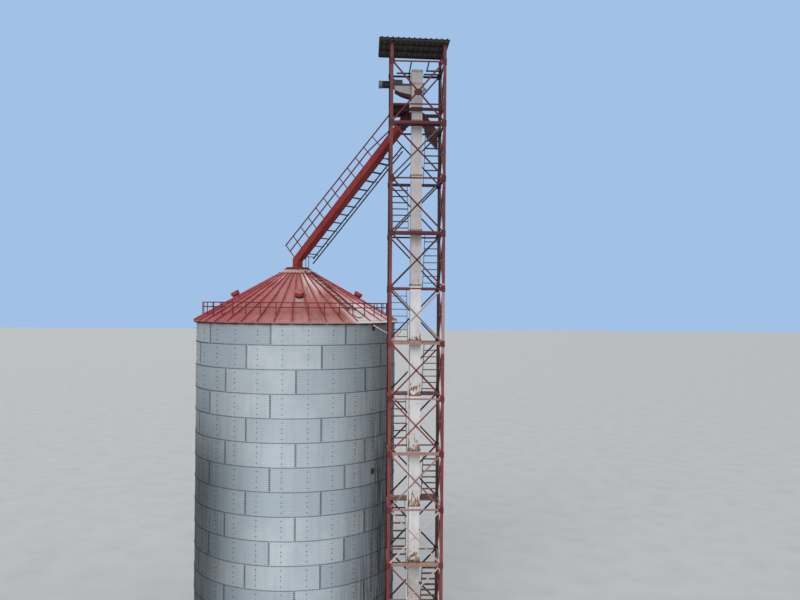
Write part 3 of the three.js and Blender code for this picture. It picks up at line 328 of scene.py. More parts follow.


# %% [markdown]
# ## The paints of this plant
# The tower, the handrails, the chute and the drive are painted in different reds and greys, which is
# what tells them apart from far away. Values are judged and then faded by the layers above. The tower's
# paint also reads a share of dark primer for each member, because some bars were left in their primer;
# the same share also stands for painted shade inside and behind the lattice.

# %% Paints
finishes = {
    "tower_paint": painted(
        "tower paint", (106, 24, 30), (122, 43, 46), (184, 168, 164), 0.25, 0.34, primer_and_shade_colour=(30, 18, 20)),
    "rail_paint": painted("rail paint", (92, 27, 32), (106, 44, 44), (140, 108, 98), 0.2, 0.3),
    "rib_paint": painted("rib cap paint", (146, 32, 38), (154, 58, 60), (170, 132, 124), 0.1, 0.15),
    "vent_paint": painted("vent paint", (140, 40, 42), (152, 62, 60), (168, 120, 110), 0.1, 0.4),
    "chute_paint": painted("chute paint", (128, 33, 34), (134, 50, 44), (150, 100, 88), 0.15, 0.3),
    # Painted shade: the diverter under the platform is darker than the chute's red.
    "shaded_diverter_paint": painted("diverter paint with painted shade", (66, 32, 32), (84, 40, 38), (120, 90, 80), 0.25, 0.35),
    "deck_steel": painted("deck steel", (62, 38, 36), (84, 56, 52), (150, 128, 114), 0.5, 0.7, 0.75),
    "toe_plate_paint": painted(
        "toe plate paint", (146, 116, 102), (160, 132, 112), (182, 160, 142), 0.9, 0.6, 0.75),
    "drive_paint": painted("drive enamel", (36, 39, 42), (52, 54, 57), (110, 104, 96), 0.1, 0.4, 0.5),
    "canopy_sheet_steel": painted(
        "canopy sheet", (54, 47, 46), (68, 60, 57), (150, 136, 124), 0.35, 0.5, 0.7),
    "primer_steel": painted("primer steel", (38, 28, 28), (50, 36, 36), (90, 78, 72), 0.3, 0.3, 0.7),
    "pale_steel": painted("pale steel", (204, 204, 202), (214, 212, 208), (186, 176, 166), 0.1, 0.3, 0.55),
    "motor_cap": painted("motor end cap", (78, 86, 92), (96, 102, 106), (120, 118, 114), 0.1, 0.3, 0.5),
}
print(len(finishes), "paints")

# %% [markdown]
# ## Elevator casing
# The casing is off-white paint on thin sheet. Water stands on every flange, so rust starts just above
# it and runs down below it. The flanges are evenly spaced, so the sawtooth of the height says how far
# up a section a point lies, and one mask serves all the joints.

# %% Casing paint
TRUNK_SECTION = 2.065
TOP_JOINT = 20.62
GREY_ABOVE = 14.43
HEAD_PAINTED_SHADE = (20.4, 20.9)
GRIME_AND_SHADE_BELOW = 4.1


def casing_paint():
    finish = Finish("casing paint", (200, 200, 202), 0.55, specular=0.35)
    height = finish.along("Z")
    finish.layer(height.between(GREY_ABOVE - 0.02, GREY_ABOVE + 0.02), (174, 168, 172))
    # Painted shade: the casing is darker just below the head.
    finish.shade(height.between(*HEAD_PAINTED_SHADE), 0.78)
    # Grime and painted shade below the first landing, darkest just under the landing.
    splash_and_shade = height.between(GRIME_AND_SHADE_BELOW + 0.02, GRIME_AND_SHADE_BELOW - 0.02) * finish.noise(3.0, 6.0)
    finish.layer(splash_and_shade * height.between(2.2, 4.0), (84, 76, 66))
    finish.layer(splash_and_shade * 0.6, (140, 134, 124))
    finish.shade(finish.noise(1.4, 5.0).between(0.42, 0.7), 0.90)
    section = maths("FRACT", (height - TOP_JOINT) / TRUNK_SECTION)
    above_joint = section.between(0.36, 0.02)
    attack = above_joint * height.between(16.5, 9.5) * 0.25 + finish.noise(1.7, 3.0) * 0.25
    rusted = (finish.noise(11.0, 8.0, (1, 1, 0.45)) + attack).between(0.78, 0.86)
    finish.layer(rusted, (108, 66, 42))
    stained = above_joint * finish.noise(6.0, 5.0, (1, 1, 0.3)).between(0.44, 0.62)
    finish.layer(stained * 0.5, (168, 146, 120))
    finish.layer(finish.noise(17.0, 8.0).between(0.68, 0.74), (104, 80, 62))
    runs = finish.noise(9.0, 6.0, (1, 1, 0.12)).between(0.58, 0.74)
    finish.layer(runs * 0.4, (150, 130, 112))
    line = largest(section.between(0.014, 0.004), section.between(0.985, 0.996))
    finish.layer(line * 0.8, (86, 66, 52))
    finish.rough(finish.noise(14.0), 0.42, 0.78)
    finish.bump(rusted, 0.001, 0.5)
    return finish.done()


finishes["casing_paint"] = casing_paint()

# %% [markdown]
# ## Galvanised sheet
# Zinc weathers to a blue-grey that hardly shines. Each sheet keeps its own tone, water leaves upright
# runs, and the laps and ring seams are darker, so the wall carries five attributes: the sheet's tone,
# how far along and how high on its sheet a point is, the grime and painted shade on the tower's side,
# and the dull zinc with a painted dark reflection low on the side away from it.

# %% Wall finish
def galvanised_sheet():
    finish = Finish("galvanised sheet", (153, 165, 174), 0.6, 0.25, 0.3)
    grime_and_shade, dullness_and_dark_reflection = finish.attribute("grime_and_shade"), finish.attribute("dullness_and_dark_reflection")
    along, height = finish.attribute("along"), finish.attribute("height")
    finish.layer(finish.attribute("tone"), (178, 187, 193))
    finish.layer(finish.noise(0.7, 5.0).between(0.45, 0.75), (156, 169, 177))
    # Painted shade: the upper rings are darker, as under the eave.
    finish.shade(finish.along("Z").between(8.5, 12.0), 0.86)
    runs = finish.noise(5.0, 6.0, (1, 1, 0.06)).between(0.5, 0.72)
    finish.layer(runs * 0.22, (132, 140, 146))
    finish.shade(finish.cells(60.0).between(0.2, 1.0) * 0.2, 0.86)
    fine_runs = finish.noise(13.0, 6.0, (1, 1, 0.05)).between(0.34, 0.66)
    # Painted reflection: darker, duller zinc low on the side away from the tower.
    finish.layer(dullness_and_dark_reflection * (fine_runs * 0.12 + 0.88), (50, 57, 63))
    finish.dull(largest(dullness_and_dark_reflection, grime_and_shade))
    # Grime and painted shade: darker towards the tower, partly the tower's shadow on the wall.
    finish.layer(grime_and_shade * (fine_runs * 0.40 + 0.60), (48, 46, 46))
    # The laps and ring seams are drawn darker.
    lap = largest(along.between(0.017, 0.007), along.between(0.995, 0.999))
    finish.shade(lap * finish.noise(26.0, 4.0).between(0.30, 0.55), 0.7)
    seam = largest(height.between(0.024, 0.008), height.between(0.988, 0.997))
    finish.shade(seam * 0.25, 0.6)
    finish.rough(finish.noise(6.0, 5.0), 0.5, 0.7)
    finish.bump(finish.noise(40.0, 3.0), 0.0006, 0.3)
    return finish.done()


finishes["galvanised_sheet"] = galvanised_sheet()

# %% [markdown]
# ## Roof paint
# The roof was sprayed red over galvanised panels. It is deep red on one side, chalky pink in the
# middle, and worn down to pale metal on a few panels below the ladder. Each panel spans nine degrees,
# so the plan angle gives the panel's number and the number gives the panel its own tone.

# %% Roof finish
RIB_STEP = 9.0
FIRST_RIB = 2.0
# Bands of plan angles, in degrees: where each starts, is full, starts to fade and has ended
CHALKY = (-48.0, 4.0, 120.0, 175.0)
WORN_TOP = (8.0, 22.0, 62.0, 70.0)
WORN_LEFT = (-68.0, -56.0, -30.0, -20.0)
WORN_FOOT = (34.0, 39.0, 82.0, 86.0)
LADDER_RUN = (36.0, 42.0, 58.0, 66.0)


def roof_paint():
    finish = Finish("roof paint", (136, 38, 44), 0.65, specular=0.25)
    angle = finish.plan_angle()
    radius = finish.plan_radius()

    def band(start, full, fading, end):
        return angle.between(start, full) * angle.between(end, fading)

    panel = maths("FLOOR", (angle - FIRST_RIB) / RIB_STEP)
    fall = finish.noise(5.0, 6.0, (0.06, 0.28, 1), finish.polar())
    patchy = finish.noise(1.3, 6.0) + finish.lot(panel) * 0.14
    worn = band(*CHALKY) * 0.45 + radius.between(3.8, 2.0) * 0.30 + patchy.between(0.36, 0.74) * 0.35
    finish.layer(maths("MINIMUM", worn, 0.92), (168, 112, 106))
    dusty_foot = radius.between(3.45, 4.2) * angle.between(-30.0, 20.0)
    finish.layer(dusty_foot * 0.42, (176, 146, 130))
    finish.shade(fall.between(0.50, 0.70), 0.62)
    bare = largest(
        band(*WORN_TOP) * (radius + fall * 1.4).between(3.1, 1.9),
        band(*WORN_LEFT) * radius.between(1.5, 0.9),
        band(*WORN_FOOT) * (radius + fall).between(3.0, 3.6),
        band(*LADDER_RUN) * 0.5,
    )
    finish.layer(bare * patchy.between(0.26, 0.44), (214, 206, 204))
    finish.layer(finish.noise(16.0, 8.0).between(0.66, 0.72), (92, 50, 42))
    finish.rough(finish.noise(9.0, 5.0), 0.55, 0.85)
    finish.bump(finish.noise(120.0, 3.0), 0.0008, 0.3)
    return finish.done()


finishes["roof_paint"] = roof_paint()

# %% [markdown]
# ## Concrete and bolts
# The ring wall and the slab are plain concrete with damp marks. Bolts sit on black rubber washers,
# which is why they read as dark dots from far away. The flange bolts of the casing have no washers and
# are rusty.

# %% Small finishes
def concrete():
    finish = Finish("concrete", (150, 146, 138), 0.9)
    finish.layer(finish.noise(1.5, 6.0).between(0.4, 0.7), (128, 124, 116))
    finish.layer(finish.noise(8.0, 8.0, (1, 1, 0.3)).between(0.6, 0.7), (104, 100, 92))
    finish.bump(finish.noise(30.0, 8.0), 0.004, 0.5)
    finish.bump(finish.cells(220.0), 0.001, 0.3)
    return finish.done()


def small_metal(name, colour, worn):
    finish = Finish(name, colour, 0.6, 0.2, 0.3)
    finish.layer(finish.noise(9.0, 4.0).between(0.45, 0.62), worn)
    finish.rough(finish.noise(60.0), 0.45, 0.75)
    return finish.done()


finishes["concrete"] = concrete()
finishes["bolts"] = small_metal("washers and bolts", (34, 36, 39), (52, 50, 50))
finishes["rusty_bolts"] = small_metal("rusty bolts", (92, 56, 38), (60, 44, 38))
finishes["flashing"] = painted("peak flashing", (172, 144, 140), (156, 118, 114), (176, 158, 150), 0.3, 0.4)
print("finishes:", ", ".join(sorted(finishes)))

# %% [markdown]
# ## Dressing the fixed pieces
# Most pieces of the frame already have their true shape, so they only need their finish. Each mesh has
# one slot.

# %% Finishes on the frame's own pieces
NODE_FINISHES = {
    "concrete": ["foundation", "tower_slab"],
    "galvanised_sheet": ["wall_sheet"],
    "roof_paint": ["roof_quadrant"],
    "vent_paint": ["roof_vent"],
    "rail_paint": ["peak_ring", "peak_cap", "roof_rail", "roof_ladder", "gallery_rail"],
    "pale_steel": ["roof_hatch", "wall_tie_upper"],
    "deck_steel": ["wall_tie_lower", "stair_flight", "head_platform"],
    "casing_paint": ["elevator", "drive_bracket"],
    "drive_paint": ["drive_motor", "drive_gearbox"],
    "shaded_diverter_paint": ["diverter"],
    "chute_paint": ["gallery_chute"],
    # The drive's strut takes the dark primer, which also stands for painted shade under the drive.
    "primer_steel": ["drive_strut", "gallery_stair"],
    "canopy_sheet_steel": ["canopy"],
    "tower_paint": ["tower_front_frame", "tower_rear_frame", "tower_left_bracing", "tower_right_bracing"],
}
dressed = []
for finish, beginnings in NODE_FINISHES.items():
    for name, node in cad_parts.items():
        if name.startswith(tuple(beginnings)):
            node.data.materials.clear()
            node.data.materials.append(finishes[finish])
            dressed.append(name)
print("dressed", len(dressed), "of", len(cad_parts), "pieces of the frame")

# %% [markdown]
# ## Making meshes in code
# A Shape gathers points and faces. Nearly every part of a steel structure is a section pushed along a
# straight line, so one sweep draws bars, angle iron and plates, and one lathe draws what is round.
# Every point also keeps a share of dark primer and painted shade, and a share of dust, which the tower's
# paint reads.

# %% Shape helpers
class Shape:
    """Points and faces, in metres, that become one mesh."""

    def __init__(self):
        self.points = []
        self.faces = []
        self.primer_and_shade = 0.0
        self.dust = 0.0
        self.marks = {"primer_and_shade": [], "dust": []}

    def add(self, points, faces):
        start = len(self.points)
        self.points.extend(tuple(point) for point in points)
        self.faces.extend([start + corner for corner in face] for face in faces)
        for label, values in self.marks.items():
            values.extend([getattr(self, label)] * (len(self.points) - start))

    def sweep(self, section, start, end, across):
        """Pushes a closed section, listed anticlockwise, from start to end, its first axis along across."""
        start, end = Vector(start), Vector(end)
        axis = (end - start).normalized()
        normal = axis.cross(Vector(across)).normalized()
        side = normal.cross(axis)
        count = len(section)
        rings = [[place + side * a + normal * b for a, b in section] for place in (start, end)]
        walls = [[i, (i + 1) % count, count + (i + 1) % count, count + i] for i in range(count)]
        caps = [list(range(count))[::-1], list(range(count, 2 * count))]
        self.add(rings[0] + rings[1], walls + caps)

    def bar(self, start, end, across, width, depth):
        a, b = width / 2, depth / 2
        self.sweep([(-a, -b), (a, -b), (a, b), (-a, b)], start, end, across)

    def box(self, low, high):
        middle = [(a + b) / 2 for a, b in zip(low, high)]
        start, end = (middle[0], middle[1], low[2]), (middle[0], middle[1], high[2])
        self.bar(start, end, (1, 0, 0), high[0] - low[0], high[1] - low[1])

    def tube(self, start, end, radius, sides=12):
        length = (Vector(end) - Vector(start)).length
        profile = [(0, 0), (radius, 0), (radius, length), (0, length)]
        self.lathe(profile, start, Vector(end) - Vector(start), sides)

    def lathe(self, profile, foot, axis, sides=24):
        """Turns a profile of (radius, height) round an axis, where it starts and ends."""
        axis = Vector(axis).normalized()
        side = axis.orthogonal().normalized()
        other = axis.cross(side)
        foot = Vector(foot)
        turns = [2 * math.pi * step / sides for step in range(sides)]
        rings = profile[1:-1]
        points = [foot + axis * profile[0][1]]
        outwards = [side * math.cos(turn) + other * math.sin(turn) for turn in turns]
        for radius, height in rings:
            points += [foot + axis * height + outward * radius for outward in outwards]
        points.append(foot + axis * profile[-1][1])
        after = [(step + 1) % sides for step in range(sides)]
        faces = [[0, 1 + b, 1 + a] for a, b in enumerate(after)]
        for ring in range(len(rings) - 1):
            low, high = 1 + ring * sides, 1 + (ring + 1) * sides
            faces += [[low + a, low + b, high + b, high + a] for a, b in enumerate(after)]
        top = 1 + (len(rings) - 1) * sides
        faces += [[top + a, top + b, len(points) - 1] for a, b in enumerate(after)]
        self.add(points, faces)

    def mesh(self, name):
        mesh = bpy.data.meshes.new(name)
        mesh.from_pydata(self.points, [], self.faces)
        mesh.validate()
        for label, values in self.marks.items():
            mesh.attributes.new(label, "FLOAT", "POINT").data.foreach_set("value", values)
        return mesh


# %% Placing a piece
def place_piece(name, form, finish, replaced=(), smooth_angle=35):
    """Puts a shape or a mesh in the scene as a piece that rides on the plant."""
    mesh = form.mesh(name) if isinstance(form, Shape) else form
    mesh.name = name
    piece = bpy.data.objects.new(name, mesh)
    bpy.context.scene.collection.objects.link(piece)
    mesh.materials.clear()
    mesh.materials.append(finishes[finish])
    if smooth_angle:
        mesh.shade_smooth()
        mesh.set_sharp_from_angle(angle=math.radians(smooth_angle))
    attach(piece, "root")
    if replaced:
        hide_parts(*replaced)
    mesh.calc_loop_triangles()
    print(name, "has", len(mesh.loop_triangles), "triangles")
    return piece


# %% [markdown]
# ## Running a Geometry Nodes tree
# A tree is handed to a modifier on a small carrier mesh. Its inputs are set by the socket's identifier,
# the result is copied to a plain mesh, and the carrier is thrown away, so nothing live is left in the
# scene.

# %% Geometry Nodes helpers
def node_group(name, inputs):
    """An empty geometry tree with named inputs: a name, a kind of socket and a default for each."""
    tree = bpy.data.node_groups.new(name, "GeometryNodeTree")
    for label, kind, value in [("Geometry", "Geometry", None), *inputs, ("Material", "Material", None)]:
        socket = tree.interface.new_socket(label, in_out="INPUT", socket_type="NodeSocket" + kind)
        if value is not None:
            socket.default_value = value
    tree.interface.new_socket("Geometry", in_out="OUTPUT", socket_type="NodeSocketGeometry")
    sockets = tree.nodes.new("NodeGroupInput").outputs
    return tree, {socket.name: Wire(tree, socket) for socket in sockets}


def joined(tree, *parts):
    join = add_node(tree, "GeometryNodeJoinGeometry")
    for part in parts:
        tree.links.new(part.socket, join.inputs[0])
    return Wire(tree, join.outputs[0])


def close_tree(tree, geometry, material):
    """Ends a tree: real geometry, one material, and the group's output."""
    real = wire(tree, "GeometryNodeRealizeInstances", {0: geometry})
    finished = wire(tree, "GeometryNodeSetMaterial", {"Geometry": real, "Material": material})
    add_node(tree, "NodeGroupOutput", {0: finished})
    return tree


def grown(tree, carrier_mesh, values):
    """Runs a tree on a carrier mesh with the given inputs and returns a plain mesh."""
    carrier = bpy.data.objects.new("carrier", carrier_mesh)
    bpy.context.scene.collection.objects.link(carrier)
    modifier = carrier.modifiers.new("grow", "NODES")
    modifier.node_group = tree
    sockets = {item.name: item.identifier for item in tree.interface.items_tree if item.in_out == "INPUT"}
    for label, value in values.items():
        modifier[sockets[label]] = value
    graph = bpy.context.evaluated_depsgraph_get()
    mesh = bpy.data.meshes.new_from_object(carrier.evaluated_get(graph))
    bpy.data.objects.remove(carrier)
    return mesh


# %% [markdown]
# ## Copies round an axis
# Ribs, eave lips, vents, anchors and cooling fins all repeat round an axis. One template and one tree
# make each of them: the template is drawn once, pointing to -Y, and the tree sets copies of it at even
# turns.

# %% Tree for copies round an axis
def copies_tree():
    tree, given = node_group("copies round an axis", [
        ("Count", "Int", 40),
        ("First Turn", "Float", 0.0),
        ("Step", "Float", math.radians(RIB_STEP)),
    ])
    spots = wire(tree, "GeometryNodePoints", {"Count": given["Count"]})
    turn = wire(tree, "GeometryNodeInputIndex") * given["Step"] + given["First Turn"]
    euler = wire(tree, "ShaderNodeCombineXYZ", {"Z": turn})
    rotation = wire(tree, "FunctionNodeEulerToRotation", {0: euler})
    copies = wire(tree, "GeometryNodeInstanceOnPoints", {
        "Points": spots, "Instance": given["Geometry"], "Rotation": rotation,
    })
    return close_tree(tree, copies, given["Material"])


copies = copies_tree()


def copied(template, count, first, step, finish):
    """Copies of a template at even turns, in degrees, round the upright axis through the origin."""
    return grown(copies, template.mesh("template"), {
        "Count": count, "First Turn": math.radians(first), "Step": math.radians(step),
        "Material": finishes[finish],
    })


def place_copies(name, template, count, first, step, finish, replaced=()):
    place_piece(name, copied(template, count, first, step, finish), finish, replaced)


print("copies tree:", len(copies.nodes), "nodes")

# %% [markdown]
# ## Corrugated wall
# The real wall is rolled from sheets about 2.9 m long, corrugated in level waves of 76 mm and bolted in
# fourteen rings of nine. Each ring is turned a third of a sheet against the one above, so the upright
# laps step round the wall like brickwork. One sheet could be modelled and copied 126 times, but since
# the shape is a rule, a tree makes a flat grid for each sheet and bends it by formula: a wave by
# height, a slight spiral so that one end laps over the next, and a slight taper so that each ring laps
# over the one below.

# %% Corrugated wall
WALL_RADIUS = 4.125
SHEETS_AROUND = 9
RINGS = 14
WAVES = 12
RING_HEIGHT = 0.912
WALL_FOOT = 0.3003
FIRST_SEAM = -9.2
THIRDS_AROUND = 3 * SHEETS_AROUND
RING_TURN = -360 / THIRDS_AROUND
WAVE_HEIGHT = 0.0042
SHEET_THICKNESS = 0.003
SHEET_COLUMNS = 9
STEPS_PER_WAVE = 4
SEAM_LAP = 0.05
LAP_LIFT = 0.0030
WELD = 0.00005
SEED = 7
print(RINGS, "rings of", SHEETS_AROUND, "sheets,", SHEET_COLUMNS, "by", WAVES * STEPS_PER_WAVE, "faces each")


# %% Wall tree
def wall_tree():
    tree, given = node_group("corrugated wall", [
        ("First Ring", "Int", 0),
        ("Ring Count", "Int", RINGS),
        ("Radius", "Float", WALL_RADIUS),
        ("Ring Height", "Float", RING_HEIGHT),
        ("Foot", "Float", WALL_FOOT),
        ("First Seam", "Float", math.radians(FIRST_SEAM)),
        ("Ring Turn", "Float", math.radians(RING_TURN)),
        ("Wave Height", "Float", WAVE_HEIGHT),
        ("Seam Lap", "Float", SEAM_LAP),
        ("Lap Lift", "Float", LAP_LIFT),
        ("Thickness", "Float", SHEET_THICKNESS),
        ("Seed", "Int", SEED),
    ])

    def store(geometry, label, value, domain):
        inputs = {"Geometry": geometry, "Name": label, "Value": value}
        return wire(tree, "GeometryNodeStoreNamedAttribute", inputs, data_type="FLOAT", domain=domain)

    def stored(label):
        return wire(tree, "GeometryNodeInputNamedAttribute", {"Name": label}, data_type="FLOAT")

    grid = wire(tree, "GeometryNodeMeshGrid", {
        "Size X": 1.0, "Size Y": 1.0, "Vertices X": SHEET_COLUMNS + 1,
        "Vertices Y": WAVES * STEPS_PER_WAVE + 1,
    }, "Mesh")
    spots = wire(tree, "GeometryNodePoints", {"Count": given["Ring Count"] * SHEETS_AROUND})
    flat = wire(tree, "GeometryNodeInstanceOnPoints", {"Points": spots, "Instance": grid})
    number = wire(tree, "GeometryNodeInputIndex")
    marks = {
        "ring": maths("FLOOR", number / SHEETS_AROUND) + given["First Ring"],
        "around": maths("MODULO", number, SHEETS_AROUND),
        "tone": wire(tree, "FunctionNodeRandomValue", {"Seed": given["Seed"]}, 1, data_type="FLOAT"),
    }
    for label, value in marks.items():
        flat = store(flat, label, value, "INSTANCE")
    flat = wire(tree, "GeometryNodeRealizeInstances", {0: flat})
    position = wire(tree, "GeometryNodeInputPosition")
    for label, axis in (("along", "X"), ("height", "Y")):
        share = wire(tree, "ShaderNodeSeparateXYZ", {0: position}, axis) + 0.5
        flat = store(flat, label, share, "POINT")

    along, height = stored("along"), stored("height")
    sheet_angle = 2 * math.pi / SHEETS_AROUND
    span = given["Seam Lap"] / given["Radius"] + sheet_angle
    turn = given["First Seam"] + stored("ring") * given["Ring Turn"] + stored("around") * sheet_angle
    turn = turn + along * span
    wave = maths("COSINE", height * (2 * math.pi * WAVES))
    radius = given["Radius"] + wave * given["Wave Height"]
    radius = radius + (0.5 - along) * given["Lap Lift"] - (height - 0.5) * given["Lap Lift"]
    rows_down = float(RINGS - 1) - stored("ring")
    placed = wire(tree, "ShaderNodeCombineXYZ", {
        "X": radius * maths("SINE", turn),
        "Y": radius * maths("COSINE", turn) * -1.0,
        "Z": given["Foot"] + (rows_down + height) * given["Ring Height"],
    })
    bent = wire(tree, "GeometryNodeSetPosition", {"Geometry": flat, "Position": placed})
    skin = wire(tree, "GeometryNodeExtrudeMesh", {
        "Mesh": bent, "Offset Scale": given["Thickness"] * -1.0, "Individual": False,
    }, "Mesh")
    both = joined(tree, bent, wire(tree, "GeometryNodeFlipFaces", {"Mesh": skin}))
    closed = wire(tree, "GeometryNodeMergeByDistance", {"Geometry": both, "Distance": WELD})
    return close_tree(tree, closed, given["Material"])


corrugated = wall_tree()
print("wall tree:", len(corrugated.nodes), "nodes")

# %% Rolling the wall in two halves
def ramp(values, start, end):
    """Each value's share of the way from start to end, clamped."""
    return np.clip((values - start) / (end - start), 0, 1)


def soft(share):
    """The same share with a gentle start and end."""
    return share * share * (3 - 2 * share)


def weather_and_shade(skin):
    """Grime and painted shade on the tower's side, worse towards the foot; dull zinc and a painted dark
    reflection low on the far side.
    """
    turns = np.degrees([math.atan2(vertex.co.x, -vertex.co.y) for vertex in skin.vertices])
    heights = np.array([vertex.co.z for vertex in skin.vertices])
    behind = ramp(turns, 150, 90)
    grime_and_shade = ramp(turns, 25, 58) * behind * (0.56 + 0.40 * ramp(heights, 11.5, 7.5))
    foot_grime_and_shade = 0.9 * ramp(turns, 20, 46) * behind * ramp(heights, 7.5, 2.5)
    away = 0.93 * soft(ramp(turns, -4, -56)) * soft(ramp(turns, -172, -104))
    marks = {"grime_and_shade": np.maximum(grime_and_shade, foot_grime_and_shade), "dullness_and_dark_reflection": away * soft(ramp(heights, 12.6, 6.6))}
    for label, values in marks.items():
        skin.attributes.new(label, "FLOAT", "POINT").data.foreach_set("value", values.astype(np.float32))


wall_nodes = sorted(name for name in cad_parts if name.startswith("wall_sheet"))
half_way = RINGS // 2
for part, first in (("upper", 0), ("lower", half_way)):
    skin = grown(corrugated, bpy.data.meshes.new("empty"), {
        "First Ring": first, "Ring Count": half_way, "Material": finishes["galvanised_sheet"],
    })
    weather_and_shade(skin)
    replaced = wall_nodes if first == 0 else ()
    place_piece("wall_skin_" + part, skin, "galvanised_sheet", replaced)

# %% [markdown]
# ## Bolts
# Thousands of bolts pattern the wall: a row along each ring seam, two rows down each lap and a column
# over each inside stiffener. An array modifier can't follow these three rules, so a tree sets one bolt
# on every point of a cloud, turned by the point's own outward direction. A six-sided washer and head
# are enough at this size.

# %% Bolt tree
def bolt_tree():
    tree, given = node_group("bolts", [
        ("Head Radius", "Float", 0.012),
        ("Head Height", "Float", 0.010),
        ("Washer Radius", "Float", 0.021),
        ("Washer Height", "Float", 0.005),
    ])

    def disc(radius, depth, lift):
        inputs = {"Vertices": 6, "Radius": radius, "Depth": depth}
        solid = wire(tree, "GeometryNodeMeshCylinder", inputs, "Mesh")
        offset = wire(tree, "ShaderNodeCombineXYZ", {"Z": lift})
        return wire(tree, "GeometryNodeTransform", {"Geometry": solid, "Translation": offset})

    head_lift = given["Head Height"] * 0.5 + given["Washer Height"]
    head = disc(given["Head Radius"], given["Head Height"], head_lift)
    washer = disc(given["Washer Radius"], given["Washer Height"], 0.0)
    outward = wire(tree, "GeometryNodeInputNamedAttribute", {"Name": "outward"}, data_type="FLOAT_VECTOR")
    turn = wire(tree, "FunctionNodeAlignRotationToVector", {"Vector": outward}, axis="Z")
    spread = wire(tree, "GeometryNodeInstanceOnPoints", {
        "Points": given["Geometry"], "Instance": joined(tree, head, washer), "Rotation": turn,
    })
    return close_tree(tree, spread, given["Material"])


bolts = bolt_tree()
print("bolt tree:", len(bolts.nodes), "nodes")


def set_bolts(name, spots, slot, finish="bolts", **sizes):
    """One bolt at each spot, a point and the direction that its head faces."""
    cloud = bpy.data.meshes.new(name)
    cloud.from_pydata([point for point, _ in spots], [], [])
    outward = cloud.attributes.new("outward", "FLOAT_VECTOR", "POINT")
    outward.data.foreach_set("vector", [value for _, facing in spots for value in facing])
    values = {label.replace("_", " ").title(): size for label, size in sizes.items()}
    mesh = grown(bolts, cloud, {**values, "Material": finishes[finish]})
    return place_piece(name, mesh, finish, smooth_angle=0)


# %% Bolts on the wall
RING_BOLT_PITCH = 0.09
FOOT_ROW, EAVE_ROW = 0.04, 0.15
STIFFENERS = THIRDS_AROUND
STIFFENER_STEP = 360 / STIFFENERS
FIRST_STIFFENER = -2.6
STIFFENER_BOLTS = 4
LAP_ROW_SPACING = 0.04
BOLT_SEAT = WALL_RADIUS + WAVE_HEIGHT + LAP_LIFT


def around(radius, degrees, z):
    turn = math.radians(degrees)
    return (radius * math.sin(turn), -radius * math.cos(turn), z)


def wall_bolt(degrees, z):
    return around(BOLT_SEAT, degrees, z), around(1, degrees, 0)


def ring_seam_bolts():
    count = round(2 * math.pi * WALL_RADIUS / RING_BOLT_PITCH)
    seams = [WALL_FOOT + ring * RING_HEIGHT for ring in range(1, RINGS)]
    seams += [WALL_FOOT + FOOT_ROW, WALL_FOOT + RINGS * RING_HEIGHT - EAVE_ROW]
    return [wall_bolt(360 * step / count, z) for z in seams for step in range(count)]


def lap_and_stiffener_bolts():
    spots = []
    row_angle = math.degrees(LAP_ROW_SPACING / WALL_RADIUS) / 2
    wave = RING_HEIGHT / WAVES
    lap_middle = math.degrees(SEAM_LAP / 2 / WALL_RADIUS)
    for ring in range(RINGS):
        foot = WALL_FOOT + (RINGS - 1 - ring) * RING_HEIGHT
        for sheet in range(SHEETS_AROUND):
            seam = FIRST_SEAM + ring * RING_TURN + sheet * 360 / SHEETS_AROUND + lap_middle
            for step in range(1, WAVES):
                spots += [wall_bolt(seam + side * row_angle, foot + step * wave) for side in (-1, 1)]
        for column in range(STIFFENERS):
            for step in range(STIFFENER_BOLTS):
                z = foot + wave * (1.0 + round((step + 0.5) * (WAVES - 2) / STIFFENER_BOLTS))
                spots.append(wall_bolt(FIRST_STIFFENER + column * STIFFENER_STEP, z))
    return spots


set_bolts("ring_seam_bolts", ring_seam_bolts(), "galvanised_sheet", washer_radius=0.024)
set_bolts("lap_and_stiffener_bolts", lap_and_stiffener_bolts(), "galvanised_sheet")

# %% [markdown]
# ## Roof seams and eave
# The roof is forty wedge-shaped panels. Their upturned edges meet in ribs, each covered with a folded
# cap that is bolted through, and each panel ends in a lip that is turned down over the wall and sags a
# little between its corners. All three are one template each, copied round the axis.

# %% Roof seam and eave sizes
ROOF_RIBS = 40
ROOF_PITCH = math.radians(29.3)
PEAK_RADIUS = 0.5
CAP_HALF_WIDTH = 0.026
CAP_DEPTH = 0.034
CAP_PLATE = 0.002
CAP_SPAN = (0.60, 4.236)
CAP_LIFT = 0.001
CAP_BOLT_PITCH = 0.30
EAVE_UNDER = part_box("roof_quadrant_1")[0].z
PEAK_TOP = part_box("roof_quadrant_1")[1].z
PANEL_FRONT = 4.2386
LIP_HALF = 0.300
LIP_DEPTH = 0.014
LIP_SAG = 0.030
LIP_STEPS = 8
LIP_FACES = (0.003, 0.0005)
print("eave at", round(EAVE_UNDER, 3), "and peak at", round(PEAK_TOP, 3))


# %% Roof seams and eave
def rib_top(radius):
    return PEAK_TOP - (radius - PEAK_RADIUS) * math.tan(ROOF_PITCH)


def rib_cap():
    w, d, t = CAP_HALF_WIDTH, CAP_DEPTH, CAP_PLATE
    folded = [(-w, -d), (-w + t, -d), (-w + t, 0), (w - t, 0), (w - t, -d), (w, -d), (w, t), (-w, t)]
    cap = Shape()
    ends = [(0, -radius, rib_top(radius) + CAP_LIFT) for radius in CAP_SPAN]
    cap.sweep(folded, *ends, (1, 0, 0))
    return cap


